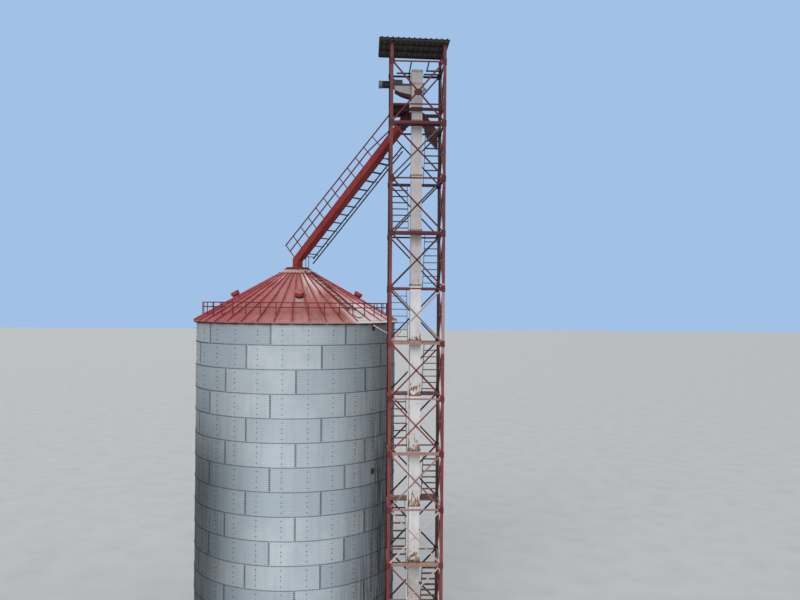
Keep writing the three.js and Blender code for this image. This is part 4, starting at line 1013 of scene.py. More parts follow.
def eave_lip():
    sides = [-LIP_HALF + 2 * LIP_HALF * step / LIP_STEPS for step in range(LIP_STEPS + 1)]
    bottom = [(x, EAVE_UNDER - LIP_DEPTH - LIP_SAG * math.cos(math.pi * x / LIP_HALF / 2)) for x in sides]
    outline = bottom + [(LIP_HALF, EAVE_UNDER), (-LIP_HALF, EAVE_UNDER)]
    lip = Shape()
    lip.sweep(outline, *[(0, -PANEL_FRONT + inset, 0) for inset in LIP_FACES], (1, 0, 0))
    return lip


def slope_bolt(radius, degrees, lift):
    """A bolt that stands square to the slope, some way above the ribs."""
    facing = around(math.sin(ROOF_PITCH), degrees, math.cos(ROOF_PITCH))
    return around(radius, degrees, rib_top(radius) + lift), facing


def roof_bolts():
    start, end = CAP_SPAN
    count = int((end - start) / CAP_BOLT_PITCH)
    radii = [start + (step + 0.5) * CAP_BOLT_PITCH for step in range(count)]
    turns = [FIRST_RIB + rib * RIB_STEP for rib in range(ROOF_RIBS)]
    return [slope_bolt(radius, degrees, 2 * CAP_PLATE) for degrees in turns for radius in radii]


place_copies("roof_rib_caps", rib_cap(), ROOF_RIBS, FIRST_RIB, RIB_STEP, "rib_paint")
# Dark primer on the eave lips, which also stands for painted shade under the eave.
place_copies(
    "roof_eave_lips", eave_lip(), ROOF_RIBS, FIRST_RIB + RIB_STEP / 2, RIB_STEP, "primer_steel")
set_bolts("roof_bolts", roof_bolts(), "roof_paint", head_radius=0.009, head_height=0.006, washer_radius=0.014)

# %% [markdown]
# ## Peak flashing
# Where the panels meet the peak ring, a shallow cone of pale sheet covers the ends of the rib caps. It
# is one turned profile, two millimetres thick, with a row of bolts near its lower edge.

# %% Peak flashing
FLASHING_SPAN = (0.563, 0.80)
FLASHING_LIFT = 0.007
FLASHING_PLATE = 0.002
FLASHING_SIDES = 80
PEAK_BOLT_ROW = FLASHING_SPAN[1] - 0.03
PEAK_BOLT_SEAT = FLASHING_LIFT + 0.003


def flashing():
    inner, outer = FLASHING_SPAN
    under, over = FLASHING_LIFT, FLASHING_LIFT + FLASHING_PLATE
    profile = [(inner, under), (outer, under), (outer, over), (inner, over)]
    turns = [2 * math.pi * step / FLASHING_SIDES for step in range(FLASHING_SIDES)]
    after = [(step + 1) % FLASHING_SIDES for step in range(FLASHING_SIDES)]
    faces = []
    for ring in range(len(profile)):
        low, high = FLASHING_SIDES * ring, FLASHING_SIDES * ((ring + 1) % len(profile))
        faces += [[low + a, low + b, high + b, high + a] for a, b in enumerate(after)]
    sheet = Shape()
    points = [(r * math.sin(t), -r * math.cos(t), rib_top(r) + lift) for r, lift in profile for t in turns]
    sheet.add(points, faces)
    return sheet


place_piece("peak_flashing", flashing(), "flashing")
panel_middles = [FIRST_RIB + (step + 0.5) * RIB_STEP for step in range(ROOF_RIBS)]
peak_spots = [slope_bolt(PEAK_BOLT_ROW, degrees, PEAK_BOLT_SEAT) for degrees in panel_middles]
set_bolts("peak_bolts", peak_spots, "roof_paint", head_radius=0.014, head_height=0.010, washer_radius=0.02)

# %% [markdown]
# ## Vents and hatch
# Four round vents stand square to the slope, each on a neck with an apron sheet under it. Their hoods
# are turned on a lathe from one profile with a rolled rim. The hatch at the foot of the ladder is the
# same idea, lower and pale.

# %% Vent and hatch sizes
VENTS = 4
VENT_ANGLE = 6.5
VENT_PLACE = 2.5
APRON_SPAN = (VENT_PLACE - 0.24, VENT_PLACE + 0.36)
APRON_WIDTH = 0.33
APRON_PLATE = 0.002
HATCH_ANGLE = 42.5
HATCH_PLACE = 3.82
GRIP_PLACE = HATCH_PLACE + 0.02
GRIP_POST_SIDE, GRIP_END_SIDE = 0.045, 0.05
GRIP_FOOT, GRIP_TOP = 0.083, 0.10
GRIP_WIDTH, GRIP_DEPTH = 0.01, 0.008
GRIP_POST_HEIGHT = 0.02
PANEL_RUN = (0.49972, 4.2386)
PANEL_HEIGHTS = (15.0978, 12.9933)
panel_slope = (PANEL_HEIGHTS[0] - PANEL_HEIGHTS[1]) / (PANEL_RUN[1] - PANEL_RUN[0])
panel_tilt = math.atan(panel_slope)
PANEL_UP = Vector((0, -math.sin(panel_tilt), math.cos(panel_tilt)))
PANEL_DOWN = Vector((0, -math.cos(panel_tilt), -math.sin(panel_tilt)))
NECK_PROFILE = [(0, 0.001), (0.150, 0.001), (0.150, 0.130), (0, 0.130)]
HOOD_PROFILE = [
    (0, 0.110), (0.150, 0.110), (0.178, 0.112), (0.185, 0.118), (0.185, 0.132), (0.180, 0.138),
    (0.180, 0.232), (0.185, 0.238), (0.185, 0.246), (0.172, 0.250), (0.06, 0.2495), (0, 0.249),
]
HATCH_NECK = [(0, 0.001), (0.145, 0.001), (0.145, 0.050), (0, 0.050)]
HATCH_PROFILE = [
    (0, 0.044), (0.145, 0.044), (0.160, 0.044), (0.165, 0.050), (0.165, 0.074), (0.158, 0.080),
    (0.08, 0.087), (0, 0.089),
]
print("panels slope at", round(math.degrees(panel_tilt), 2), "degrees")


# %% Vents and hatch
def on_panel(place, side=0.0, lift=0.0):
    """A point on a panel's middle line, drawn pointing to -Y."""
    z = PANEL_HEIGHTS[1] + (PANEL_RUN[1] - place) * panel_slope
    return Vector((side, -place, z)) + PANEL_UP * lift


def turned_on_panel(profile, place):
    dressed = Shape()
    dressed.lathe(profile, on_panel(place), PANEL_UP, 32)
    return dressed


def vent_apron():
    apron = Shape()
    ends = [on_panel(place, lift=APRON_PLATE) for place in APRON_SPAN]
    apron.bar(*ends, (1, 0, 0), APRON_WIDTH, APRON_PLATE)
    return apron


def hatch_lid():
    lid = turned_on_panel(HATCH_PROFILE, HATCH_PLACE)
    for side in (-GRIP_POST_SIDE, GRIP_POST_SIDE):
        foot = on_panel(GRIP_PLACE, side, GRIP_FOOT)
        lid.bar(foot, foot + PANEL_UP * GRIP_POST_HEIGHT, (1, 0, 0), GRIP_WIDTH, GRIP_WIDTH)
    grip = [on_panel(GRIP_PLACE, side, GRIP_TOP) for side in (-GRIP_END_SIDE, GRIP_END_SIDE)]
    lid.bar(*grip, PANEL_DOWN, GRIP_WIDTH, GRIP_DEPTH)
    return lid


vent_nodes = sorted(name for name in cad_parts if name.startswith("roof_vent"))
vent_parts = [
    ("roof_vent_hoods", turned_on_panel(HOOD_PROFILE, VENT_PLACE), "vent_paint", vent_nodes),
    # Dark primer on the vent necks, which also stands for painted shade under the hoods.
    ("roof_vent_necks", turned_on_panel(NECK_PROFILE, VENT_PLACE), "primer_steel", ()),
    ("roof_vent_aprons", vent_apron(), "flashing", ()),
]
for name, template, finish, replaced in vent_parts:
    place_copies(name, template, VENTS, VENT_ANGLE, 360 / VENTS, finish, replaced)
hatch_parts = [
    ("roof_hatch_lid", hatch_lid(), "pale_steel", ["roof_hatch"]),
    ("roof_hatch_neck", turned_on_panel(HATCH_NECK, HATCH_PLACE), "primer_steel", ()),
]
for name, template, finish, replaced in hatch_parts:
    place_copies(name, template, 1, HATCH_ANGLE, 0.0, finish, replaced)

# %% [markdown]
# ## Tower in angle iron
# The fixed frame's lattice has plain bars. The real members are rolled angles: two thin flanges that
# throw thin double lines of light and shade. Each is a swept L section. Gusset plates cover the joints.
# The members differ in dark primer and dust: most of the rear face and some front diagonals wear dark
# primer, which also stands for painted shade inside the lattice, and some lower diagonals have gone pale.

# %% Tower sizes
LEG_WIDTH = 0.11
LEG_PLATE = 0.012
BAR_WIDTH = 0.06
DIAGONAL_WIDTH = 0.055
BAR_PLATE = 0.006
DIAGONAL_GAP = 0.004
GUSSET_HALF = 0.12
GUSSET_PLATE = 0.008
GUSSET_BOLTS = ((0.03, -0.08), (0.03, 0), (0.03, 0.08), (0.12, -0.04), (0.12, 0.04))
LEVEL_PITCH = 2.04
FIRST_LEVEL = 2.06
LEVELS = 10
HEAD_LEVEL = 21.11
TOP_BEAM = 22.69
LEG_TOP = 23.34
CANOPY_FALL = math.radians(1.2)
PURLIN = 0.06
front_low, front_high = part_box("tower_front_frame")
TOWER_LEFT, TOWER_RIGHT = front_low.x, front_high.x
TOWER_FRONT, TOWER_REAR = front_low.y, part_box("tower_rear_frame")[1].y
TOWER_FOOT = front_low.z
TOWER_MIDDLE = (TOWER_LEFT + TOWER_RIGHT) / 2
levels = [FIRST_LEVEL + LEVEL_PITCH * step for step in range(LEVELS)]
bay_edges = [TOWER_FOOT + BAR_WIDTH / 2] + levels + [TOP_BEAM]
print("tower from", round(TOWER_LEFT, 3), "to", round(TOWER_RIGHT, 3), "in x, levels", len(levels))


def angle_section(width, plate, corner_a=1, corner_b=1):
    """An L section with its corner at the origin; the corner signs say which way its flanges point."""
    outline = [(0, 0), (width, 0), (width, plate), (plate, plate), (plate, width), (0, width)]
    placed = [(a * corner_a, b * corner_b) for a, b in outline]
    return placed if corner_a * corner_b > 0 else placed[::-1]


def canopy_fall(x):
    return (TOWER_MIDDLE - x) * math.tan(CANOPY_FALL)


# %% Tower faces
FACES = {
    "front": ((TOWER_LEFT, TOWER_FRONT), (TOWER_RIGHT, TOWER_FRONT)),
    "right": ((TOWER_RIGHT, TOWER_FRONT), (TOWER_RIGHT, TOWER_REAR)),
    "rear": ((TOWER_RIGHT, TOWER_REAR), (TOWER_LEFT, TOWER_REAR)),
    "left": ((TOWER_LEFT, TOWER_REAR), (TOWER_LEFT, TOWER_FRONT)),
}
GALLERY_BAY = LEVELS - 1
# Shares of dark primer by face, which also stand for painted shade inside and behind the lattice.
LEG_PRIMER_AND_SHADE = {"front": 0.0, "right": 0.0, "rear": 0.75, "left": 0.75}
BAR_PRIMER_AND_SHADE = {"front": 0.1, "right": 0.4, "rear": 0.85, "left": 0.6}
FRONT_GUSSET_PRIMER_AND_SHADE = 0.2
# Front diagonals of each bay from the foot up: share of primer and painted shade and share of dust of
# the rising one, then of the falling one
FRONT_MARKS = [
    (0.3, 0.2, 0.3, 0.2), (0.0, 0.75, 0.1, 0.1), (0.0, 0.90, 0.6, 0.70), (0.0, 0.30, 0.0, 0.15),
    (0.0, 0.05, 0.0, 0.0), (0.35, 0.0, 0.1, 0.0), (0.5, 0.55, 0.6, 0.3), (0.95, 0.0, 0.35, 0.0),
    (0.35, 0.0, 0.25, 0.0), (0.9, 0.1, 0.2, 0.0), (0.25, 0.0, 0.25, 0.0),
]
SIDE_MARKS = {"right": (0.5, 0.05, 0.4, 0.05), "rear": (0.95, 0.0, 0.85, 0.0), "left": (0.75, 0.0, 0.6, 0.0)}
PALE_LEG = (11.9, 14.5)
PALE_LEG_DUST, LEG_DUST = 0.42, 0.04
DUSTY_LEVELS = levels[1:6]
LEVEL_DUST = 0.35


class Face:
    """One side of the tower: along runs from its first leg to its second, inwards to the middle."""

    def __init__(self, name):
        start, end = FACES[name]
        self.name = name
        self.start = Vector((*start, 0))
        reach = Vector((*end, 0)) - self.start
        self.width = reach.length
        self.along = reach.normalized()
        self.inwards = Vector((0, 0, 1)).cross(self.along)

    def at(self, across, depth, z):
        return self.start + self.along * across + self.inwards * depth + Vector((0, 0, z))


faces = [Face(name) for name in FACES]
print("faces:", ", ".join("%s %.3f m" % (face.name, face.width) for face in faces))


# %% Legs, bars and diagonals
def leg(steel, face):
    """One leg in three lengths, because the nearest leg's middle length has lost its red paint."""
    corner = face.at(0, 0, TOWER_FOOT)
    inner = corner.x + math.copysign(PURLIN, TOWER_MIDDLE - corner.x)
    top = LEG_TOP + min(canopy_fall(corner.x), canopy_fall(inner))
    cuts = [TOWER_FOOT, *PALE_LEG, top]
    for part, (low, high) in enumerate(zip(cuts, cuts[1:])):
        steel.dust = PALE_LEG_DUST if part == 1 and face.name == "right" else LEG_DUST
        ends = [(corner.x, corner.y, z) for z in (low, high)]
        steel.sweep(angle_section(LEG_WIDTH, LEG_PLATE), *ends, face.along)


def diagonals(steel, face, bay, low, high):
    reach = LEG_WIDTH * 0.5
    near, far = LEG_PLATE + BAR_PLATE, LEG_PLATE + 2 * BAR_PLATE + DIAGONAL_GAP
    rising = [face.at(reach, near, low), face.at(face.width - reach, near, high)]
    falling = [face.at(reach, far, high), face.at(face.width - reach, far, low)]
    angle = angle_section(DIAGONAL_WIDTH, BAR_PLATE, -1, 1)
    marks = FRONT_MARKS[bay] if face.name == "front" else SIDE_MARKS[face.name]
    if not (face.name == "left" and bay == GALLERY_BAY):
        steel.primer_and_shade, steel.dust = marks[:2]
        steel.sweep(angle, *rising, face.inwards.cross(rising[1] - rising[0]))
    steel.primer_and_shade, steel.dust = marks[2:]
    steel.sweep(angle, *falling, face.inwards.cross(falling[1] - falling[0]))


def tower_steel():
    steel = Shape()
    for face in faces:
        steel.primer_and_shade = LEG_PRIMER_AND_SHADE[face.name]
        leg(steel, face)
        inside = face.width - LEG_PLATE
        for z in bay_edges + [HEAD_LEVEL]:
            steel.primer_and_shade = BAR_PRIMER_AND_SHADE[face.name]
            steel.dust = LEVEL_DUST if z in DUSTY_LEVELS else 0.0
            ends = [face.at(across, LEG_PLATE, z + BAR_WIDTH / 2) for across in (LEG_PLATE, inside)]
            steel.sweep(angle_section(BAR_WIDTH, BAR_PLATE, 1, -1), *ends, face.inwards)
        for bay, (low, high) in enumerate(zip(bay_edges, bay_edges[1:])):
            diagonals(steel, face, bay, low, high)
    return steel


TOWER_NODES = ("tower_front_frame", "tower_rear_frame", "tower_left_bracing", "tower_right_bracing")
place_piece("tower_angles", tower_steel(), "tower_paint", TOWER_NODES)

# %% Gusset plates and their bolts
def gusset_outline(half, side):
    """A plate with its outer corners cut off, its straight edge along the leg."""
    cut = half * 0.5
    reach = half * 1.45
    shoulder = half - cut * 0.4
    outline = [(0, -half), (shoulder, -half), (reach, -cut), (reach, cut), (shoulder, half), (0, half)]
    return outline if side > 0 else [(-a, b) for a, b in outline][::-1]


CROSSING_PLATE = [
    (-0.07, -0.12), (0.07, -0.12), (0.15, -0.05), (0.15, 0.05), (0.07, 0.12), (-0.07, 0.12),
    (-0.15, 0.05), (-0.15, -0.05),
]
CROSSING_THICKNESS = LEG_PLATE - 0.001
CROSSING_BOLT_DEPTH = 0.004


def gussets():
    plates = Shape()
    spots = []
    for face in faces:
        plates.primer_and_shade = FRONT_GUSSET_PRIMER_AND_SHADE if face.name == "front" else BAR_PRIMER_AND_SHADE[face.name]
        for z in bay_edges[1:]:
            for side, across in ((1, 0.0), (-1, face.width)):
                middle = face.at(across, -GUSSET_PLATE, z)
                outline = gusset_outline(GUSSET_HALF, side)
                plates.sweep(outline, middle, middle + face.inwards * GUSSET_PLATE, face.along)
                for a, b in GUSSET_BOLTS:
                    spots.append((face.at(across + side * a, -GUSSET_PLATE, z + b), -face.inwards))
        for low, high in zip(bay_edges, bay_edges[1:]):
            crossing = face.at(face.width / 2, LEG_PLATE - CROSSING_BOLT_DEPTH, (low + high) / 2)
            spots.append((crossing, -face.inwards))
    front = faces[0]
    middle = front.at(front.width / 2, 0, (bay_edges[-2] + bay_edges[-1]) / 2)
    plates.sweep(CROSSING_PLATE, middle, middle + front.inwards * CROSSING_THICKNESS, front.along)
    return plates, spots


gusset_plates, plate_bolts = gussets()
place_piece("tower_gussets", gusset_plates, "tower_paint")
set_bolts("tower_bolts", plate_bolts, "tower_paint", head_radius=0.014, head_height=0.011, washer_radius=0.02)

# %% [markdown]
# ## Landings
# Each landing is edged with a toe plate, a strip of plate on edge that stops feet and tools from
# slipping off. On the lower landings it has lost its paint and gone the colour of dust, so these show
# as pale bands.

# %% Toe plates
TOE_HEIGHT = 0.085
TOE_PLATE = 0.006
TOE_INSET = TOE_PLATE / 2 + 0.001
TOE_LIFT = 0.0005
PALE_LANDINGS = 6
pale_plates, red_plates = Shape(), Shape()
for number, level in enumerate(levels, 1):
    low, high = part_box("stair_flight_%d" % number)
    y = high.y - TOE_INSET if number % 2 else low.y + TOE_INSET
    plates = pale_plates if number <= PALE_LANDINGS else red_plates
    plates.box((low.x, y - TOE_PLATE / 2, level + TOE_LIFT), (high.x, y + TOE_PLATE / 2, level + TOE_HEIGHT))
place_piece("landing_toe_plates", pale_plates, "toe_plate_paint")
place_piece("landing_red_toe_plates", red_plates, "rail_paint")

# %% [markdown]
# ## Plates of the wall ties
# Each tie to the tower starts from a plate on the wall, which was painted brown before it was bolted
# on. The fixed piece is one solid with its rod, so the plate gets a cover of its own, one millimetre
# outside it.

# %% Tie plates
TIE_ANGLE = 50.8
TIE_PLATE_OUT = 4.1255
TIE_PLATES = (12.79, 7.17)
TIE_COVER = 0.028
# Strips round the tie's rod: how far aside each lies, its width, its foot and its top
TIE_STRIPS = [
    (-0.0565, 0.049, -0.116, 0.116), (0.0565, 0.049, -0.116, 0.116),
    (0.0, 0.064, -0.116, 0.049), (0.0, 0.064, 0.111, 0.116),
]
tie_plates = Shape()
across = Vector(around(1, TIE_ANGLE + 90, 0))
for z in TIE_PLATES:
    for aside, width, low, high in TIE_STRIPS:
        middle = Vector(around(TIE_PLATE_OUT, TIE_ANGLE, z)) + across * aside
        tie_plates.bar(middle + Vector((0, 0, low)), middle + Vector((0, 0, high)), across, width, TIE_COVER)
place_piece("wall_tie_plates", tie_plates, "deck_steel")

# %% [markdown]
# ## Bars behind the elevator's head
# A few odd lengths of primed angle run behind the head from the rear legs. They steady the platform's
# handrail and carried a hoist once. Each is one short angle.

# %% Bars behind the head
HEAD_BARS_Y = -2.60
HEAD_BAR_WIDTH = 0.05
# Where each bar starts and ends: x and z, twice
HEAD_BARS = [
    (3.79, 22.65, 4.63, 22.65), (4.03, 22.79, 4.63, 22.79), (5.10, 22.64, 5.74, 22.64),
    (5.10, 22.76, 5.74, 22.76), (5.19, 22.90, 5.74, 22.90), (4.60, 23.33, 4.50, 22.80),
    (4.50, 22.80, 4.54, 22.39), (5.29, 23.30, 5.19, 22.92),
]
head_bars = Shape()
for x1, z1, x2, z2 in HEAD_BARS:
    section = angle_section(HEAD_BAR_WIDTH, BAR_PLATE)
    head_bars.sweep(section, (x1, HEAD_BARS_Y, z1), (x2, HEAD_BARS_Y, z2), (0, 1, 0))
place_piece("head_bars", head_bars, "primer_steel")

# %% [markdown]
# ## Elevator joints
# The casing's sections meet in bolted flanges. The bolts stand on the flanges' rims, and one count for
# the long side and one for the short side set them all. The head has a flange of its own, a bolted
# bearing at its side, a row of bolts along its shoulder and a dark band round the casing under it.

# %% Elevator joints
JOINTS = 10
FLANGE_HEIGHT = 0.03
FLANGE_OVERHANG = 0.025
BOLT_LIFT = 0.002
JOINT_BOLTS = (5, 6)
HEAD_JOINT_BOLTS = (7, 10)
HEAD_OVERHANG = (0.01, 0.02)
HEAD_JOINT = 21.982
trunk_low, trunk_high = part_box("elevator_trunk")
CASING_X = (trunk_low.x + FLANGE_OVERHANG, trunk_high.x - FLANGE_OVERHANG)
CASING_Y = (trunk_low.y + FLANGE_OVERHANG, trunk_high.y - FLANGE_OVERHANG)


def rim_bolts(x_span, y_span, z, rim, across, deep):
    """Bolts that stand on a flange's rim round a casing."""
    xs = [x_span[0] + (x_span[1] - x_span[0]) * step / (across - 1) for step in range(across)]
    ys = [y_span[0] + (y_span[1] - y_span[0]) * step / (deep - 1) for step in range(deep)]
    plan = [(x, y) for x in xs for y in (y_span[0] - rim, y_span[1] + rim)]
    plan += [(x, y) for y in ys for x in (x_span[0] - rim, x_span[1] + rim)]
    return [((x, y, z), (0, 0, 1)) for x, y in plan]


joint_spots = []
for joint in range(JOINTS):
    top = TOP_JOINT - joint * TRUNK_SECTION + FLANGE_HEIGHT / 2
    joint_spots += rim_bolts(CASING_X, CASING_Y, top + BOLT_LIFT, FLANGE_OVERHANG / 2, *JOINT_BOLTS)
aside, ahead = HEAD_OVERHANG
HEAD_X = (CASING_X[0] - aside, CASING_X[1] + aside)
HEAD_Y = (CASING_Y[0] - ahead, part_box("elevator_head")[1].y - ahead)
top = HEAD_JOINT + FLANGE_HEIGHT / 2
joint_spots += rim_bolts(HEAD_X, HEAD_Y, top + BOLT_LIFT, aside, *HEAD_JOINT_BOLTS)
set_bolts("casing_bolts", joint_spots, "casing_paint", "rusty_bolts",
          head_radius=0.017, head_height=0.030, washer_radius=0.012, washer_height=0.004)

# %% Head band and head bolts
DARK_BAND_SPAN = (21.085, 21.13)
DARK_BAND_OUT = 0.006
DARK_BAND_PLATE = 0.005
# A dark band round the casing just under the head.
head_dark_band = Shape()
x1, x2 = CASING_X[0] - DARK_BAND_OUT, CASING_X[1] + DARK_BAND_OUT
y1, y2 = CASING_Y[0] - DARK_BAND_OUT, CASING_Y[1] + DARK_BAND_OUT
inner_y = (y1 + DARK_BAND_PLATE, y2 - DARK_BAND_PLATE)
dark_band_sides = [
    (x1, y1, x2, inner_y[0]), (x1, inner_y[1], x2, y2),
    (x1, inner_y[0], x1 + DARK_BAND_PLATE, inner_y[1]), (x2 - DARK_BAND_PLATE, inner_y[0], x2, inner_y[1]),
]
for left, front, right, rear in dark_band_sides:
    head_dark_band.box((left, front, DARK_BAND_SPAN[0]), (right, rear, DARK_BAND_SPAN[1]))
place_piece("head_dark_band", head_dark_band, "primer_steel")

BEARING_OUT = 0.062
BEARING_HEIGHT = 21.9
BEARING_COLUMNS = (-0.09, 0.09)
BEARING_ROWS = (-0.13, -0.045, 0.045, 0.13)
SHOULDER_ROW = 22.45
SHOULDER_BOLTS = 5
SHOULDER_START, SHOULDER_PITCH = 0.03, 0.09
shoulder_xs = [HEAD_X[0] + SHOULDER_START + SHOULDER_PITCH * step for step in range(SHOULDER_BOLTS)]
x, y, z = HEAD_X[1] + BEARING_OUT, (HEAD_Y[0] + HEAD_Y[1]) / 2, BEARING_HEIGHT
head_spots = [((x, y + dy, z + dz), (1, 0, 0)) for dy in BEARING_COLUMNS for dz in BEARING_ROWS]
head_spots += [((x, HEAD_Y[0] - BOLT_LIFT, SHOULDER_ROW), (0, -1, 0)) for x in shoulder_xs]
set_bolts("head_bolts", head_spots, "casing_paint", head_radius=0.016, head_height=0.014, washer_radius=0.02)

# %% [markdown]
# ## Conduit
# A pale conduit climbs the casing's left side in its lower half and feeds the drive. Saddles hold it to
# the casing.

# %% Conduit
CONDUIT_RADIUS = 0.022
CONDUIT_TOP = 12.0
CONDUIT_GAP = 0.004
CONDUIT_INSET = 0.05
CONDUIT_START = 0.05
CONDUIT_SIDES = 10
SADDLES = 10
SADDLE_SIZE = (0.025, 0.028, 0.03)
SADDLE_BITE = 0.001
FIRST_SADDLE = 0.6
conduit = Shape()
conduit_x = CASING_X[0] - FLANGE_OVERHANG - CONDUIT_RADIUS - CONDUIT_GAP
conduit_y = CASING_Y[0] + CONDUIT_INSET
conduit_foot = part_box("elevator_boot")[1].z
conduit_ends = [(conduit_x, conduit_y, z) for z in (conduit_foot + CONDUIT_START, CONDUIT_TOP)]
conduit.tube(*conduit_ends, CONDUIT_RADIUS, CONDUIT_SIDES)
out, half, tall = SADDLE_SIZE
saddle_end = CASING_X[0] + SADDLE_BITE
for step in range(SADDLES):
    z = conduit_foot + FIRST_SADDLE + step
    conduit.box((conduit_x - out, conduit_y - half, z), (saddle_end, conduit_y + half, z + tall))
place_piece("casing_conduit", conduit, "pale_steel")

# %% [markdown]
# ## Motor
# The drive's motor is a finned cast housing between two end shields, with a pale sheet cowl over its
# fan. The fins are one template copied round the axis. It is drawn upright and then laid down along X.

# %% Motor
FIN_COUNT = 28
FIN_THICKNESS = 0.004
FIN_RADIUS = 0.138
BODY_RADIUS = 0.114
COWL_LENGTH = 0.126
SHIELD_RADIUS = 0.136
SHIELD_END = 0.05
FIN_ROOT = BODY_RADIUS - 0.004
ROUND_SIDES = 32
TERMINAL_BOX = ((-0.06, -0.06, 0.12), (-0.05, 0.06, 0.24))
motor_low, motor_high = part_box("drive_motor")
MOTOR_MIDDLE = (motor_low + motor_high) / 2
MOTOR_LENGTH = motor_high.x - motor_low.x
BODY_END = MOTOR_LENGTH - COWL_LENGTH
BODY_PROFILE = [
    (0, 0.001), (0.10, 0.001), (SHIELD_RADIUS, 0.010), (SHIELD_RADIUS, 0.045), (BODY_RADIUS, SHIELD_END),
    (BODY_RADIUS, BODY_END - 0.04), (SHIELD_RADIUS, BODY_END - 0.035), (SHIELD_RADIUS, BODY_END - 0.002),
    (0, BODY_END - 0.002),
]
COWL_PROFILE = [
    (0, BODY_END - 0.001), (0.149, BODY_END - 0.001), (0.149, MOTOR_LENGTH - 0.03),
    (0.138, MOTOR_LENGTH - 0.008), (0.12, MOTOR_LENGTH - 0.001), (0, MOTOR_LENGTH - 0.001),
]


def laid_down(mesh):
    """Turns an upright piece so that it runs along X, its foot at the motor's inner end."""
    place = Vector((motor_high.x, MOTOR_MIDDLE.y, MOTOR_MIDDLE.z))
    mesh.transform(Matrix.Translation(place) @ Matrix.Rotation(math.radians(-90), 4, "Y"))
    return mesh


def upright(profile):
    shape = Shape()
    shape.lathe(profile, (0, 0, 0), (0, 0, 1), ROUND_SIDES)
    return shape


fin = Shape()
half = FIN_THICKNESS / 2
fin.box((-half, -FIN_RADIUS, SHIELD_END), (half, -FIN_ROOT, BODY_END - 0.04))
fins = laid_down(copied(fin, FIN_COUNT, 0, 360 / FIN_COUNT, "drive_paint"))
place_piece("motor_fins", fins, "drive_paint", ["drive_motor"])
body = upright(BODY_PROFILE)
body.box(*TERMINAL_BOX)
place_piece("motor_body", laid_down(body.mesh("motor_body")), "drive_paint")
place_piece("motor_cowl", laid_down(upright(COWL_PROFILE).mesh("motor_cowl")), "motor_cap")

# %% [markdown]
# ## Gallery chute
# The chute is folded sheet with a lid. Cover straps hold each joint of its sheets, and a dark sealing
# strip runs along the lid's upper edge. A point on the chute is given by its distance from the silo's
# axis along the gallery, by how far it lies to the front side, and by its depth below the lid.

# %% Gallery chute
GALLERY_TURN = math.radians(37.75)
GALLERY_PITCH = math.radians(43.4)
CHUTE_WIDTH = 0.30
CHUTE_DEPTH = 0.283
CHUTE_TOP_AT_AXIS = 15.747
STRAP_PITCH = 0.29
STRAP_WIDTH = 0.014
STRAP_PLATE = 0.003
SEAL_WIDTH = 0.022
SEAL_THICKNESS = 0.004
CHUTE_RUN = (0.22, 5.36)
FIRST_STRAP = CHUTE_RUN[0] + 0.1
gallery_along = Vector((math.cos(GALLERY_TURN), -math.sin(GALLERY_TURN), 0))
gallery_aside = Vector((gallery_along.y, -gallery_along.x, 0))
into_chute = gallery_along * math.sin(GALLERY_PITCH) - Vector((0, 0, math.cos(GALLERY_PITCH)))


def on_chute(run, side, depth):
    top = CHUTE_TOP_AT_AXIS + math.tan(GALLERY_PITCH) * run
    return gallery_along * run + gallery_aside * side + Vector((0, 0, top)) + into_chute * depth


def chute_straps():
    straps = Shape()
    half = CHUTE_WIDTH / 2 + STRAP_PLATE / 2
    count = int((CHUTE_RUN[1] - CHUTE_RUN[0] - CHUTE_DEPTH) / STRAP_PITCH)
    lower = into_chute.cross(gallery_aside)
    for step in range(count):
        run = FIRST_STRAP + step * STRAP_PITCH
        corners = [(-half, 0), (-half, CHUTE_DEPTH), (half, 0), (half, CHUTE_DEPTH)]
        corners += [(-half, -STRAP_PLATE / 2), (half, -STRAP_PLATE / 2)]
        ends = [on_chute(run, side, depth) for side, depth in corners]
        for start, end in zip(ends[::2], ends[1::2]):
            straps.bar(start, end, lower, STRAP_WIDTH, STRAP_PLATE)
    return straps


place_piece("chute_straps", chute_straps(), "chute_paint")
chute_seals = Shape()
edge = CHUTE_WIDTH / 2 + STRAP_PLATE
for depth in (SEAL_WIDTH / 2, CHUTE_DEPTH - SEAL_WIDTH / 2):
    ends = [on_chute(run, edge, depth) for run in CHUTE_RUN]
    chute_seals.bar(*ends, into_chute, SEAL_WIDTH, SEAL_THICKNESS)
place_piece("chute_seals", chute_seals, "primer_steel")

# %% [markdown]
# ## Anchors
# The wall's foot is held to the concrete by angle brackets under each stiffener, and each leg stands on
# a base plate with four anchor bolts. The brackets are copied round the axis like the roof's ribs.

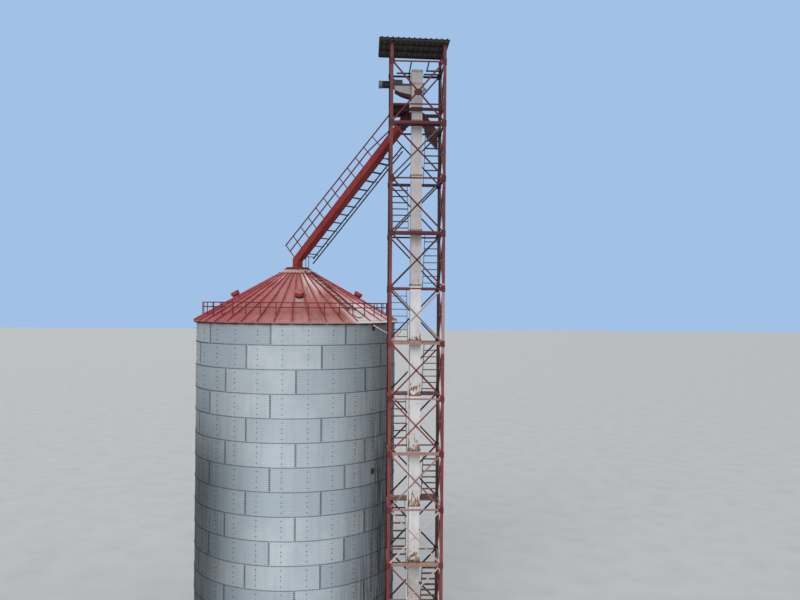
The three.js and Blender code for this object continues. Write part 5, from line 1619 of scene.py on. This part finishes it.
# %% Anchors
BRACKET_HALF = 0.05
BRACKET_OUT = 0.060
BRACKET_PLATE = 0.010
BRACKET_HEIGHT = 0.12
BRACKET_BOLT_OUT = 0.035
BASE_HALF = 0.10
BASE_PLATE = 0.014
BASE_BOLTS = (-0.08, 0.08)
foundation_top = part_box("foundation")[1].z
slab_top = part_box("tower_slab")[1].z
bracket = Shape()
shelf = foundation_top + BRACKET_PLATE
bracket.box((-BRACKET_HALF, -BOLT_SEAT - BRACKET_OUT, foundation_top), (BRACKET_HALF, -BOLT_SEAT, shelf))
bracket.box((-BRACKET_HALF, -BOLT_SEAT - BRACKET_PLATE, shelf),
            (BRACKET_HALF, -BOLT_SEAT, foundation_top + BRACKET_HEIGHT))
place_copies(
    "wall_anchors", bracket, STIFFENERS, FIRST_STIFFENER, STIFFENER_STEP, "pale_steel")
columns = [FIRST_STIFFENER + step * STIFFENER_STEP for step in range(STIFFENERS)]
bolt_row = BOLT_SEAT + BRACKET_BOLT_OUT
anchor_spots = [(around(bolt_row, degrees, shelf + BOLT_LIFT), (0, 0, 1)) for degrees in columns]
base_plates = Shape()
for x in (TOWER_LEFT + LEG_WIDTH / 2, TOWER_RIGHT - LEG_WIDTH / 2):
    for y in (TOWER_FRONT + LEG_WIDTH / 2, TOWER_REAR - LEG_WIDTH / 2):
        plate_top = slab_top + BASE_PLATE
        base_plates.box((x - BASE_HALF, y - BASE_HALF, slab_top), (x + BASE_HALF, y + BASE_HALF, plate_top))
        spots = [(x + dx, y + dy, plate_top + BOLT_LIFT) for dx in BASE_BOLTS for dy in BASE_BOLTS]
        anchor_spots += [(spot, (0, 0, 1)) for spot in spots]
place_piece("leg_base_plates", base_plates, "tower_paint")
set_bolts("anchor_bolts", anchor_spots, "tower_paint", "rusty_bolts", head_radius=0.016, head_height=0.03)

# %% [markdown]
# ## Floor
# A plain pale floor lets the plant stand without telling a story of its own.

# %% Floor
FLOOR_HALF = 400.0
corners = ((-1, -1), (1, -1), (1, 1), (-1, 1))
floor_shape = Shape()
floor_shape.add([(x * FLOOR_HALF, y * FLOOR_HALF, 0) for x, y in corners], [[0, 1, 2, 3]])
floor = bpy.data.objects.new("floor", floor_shape.mesh("floor"))
bpy.context.scene.collection.objects.link(floor)
floor_finish = Finish("pale floor", (176, 176, 174), 0.9, specular=0.1)
floor_finish.layer(floor_finish.noise(0.6).between(0.4, 0.7), (170, 170, 168))
floor.data.materials.append(floor_finish.done())
print("floor", 2 * FLOOR_HALF, "m across")
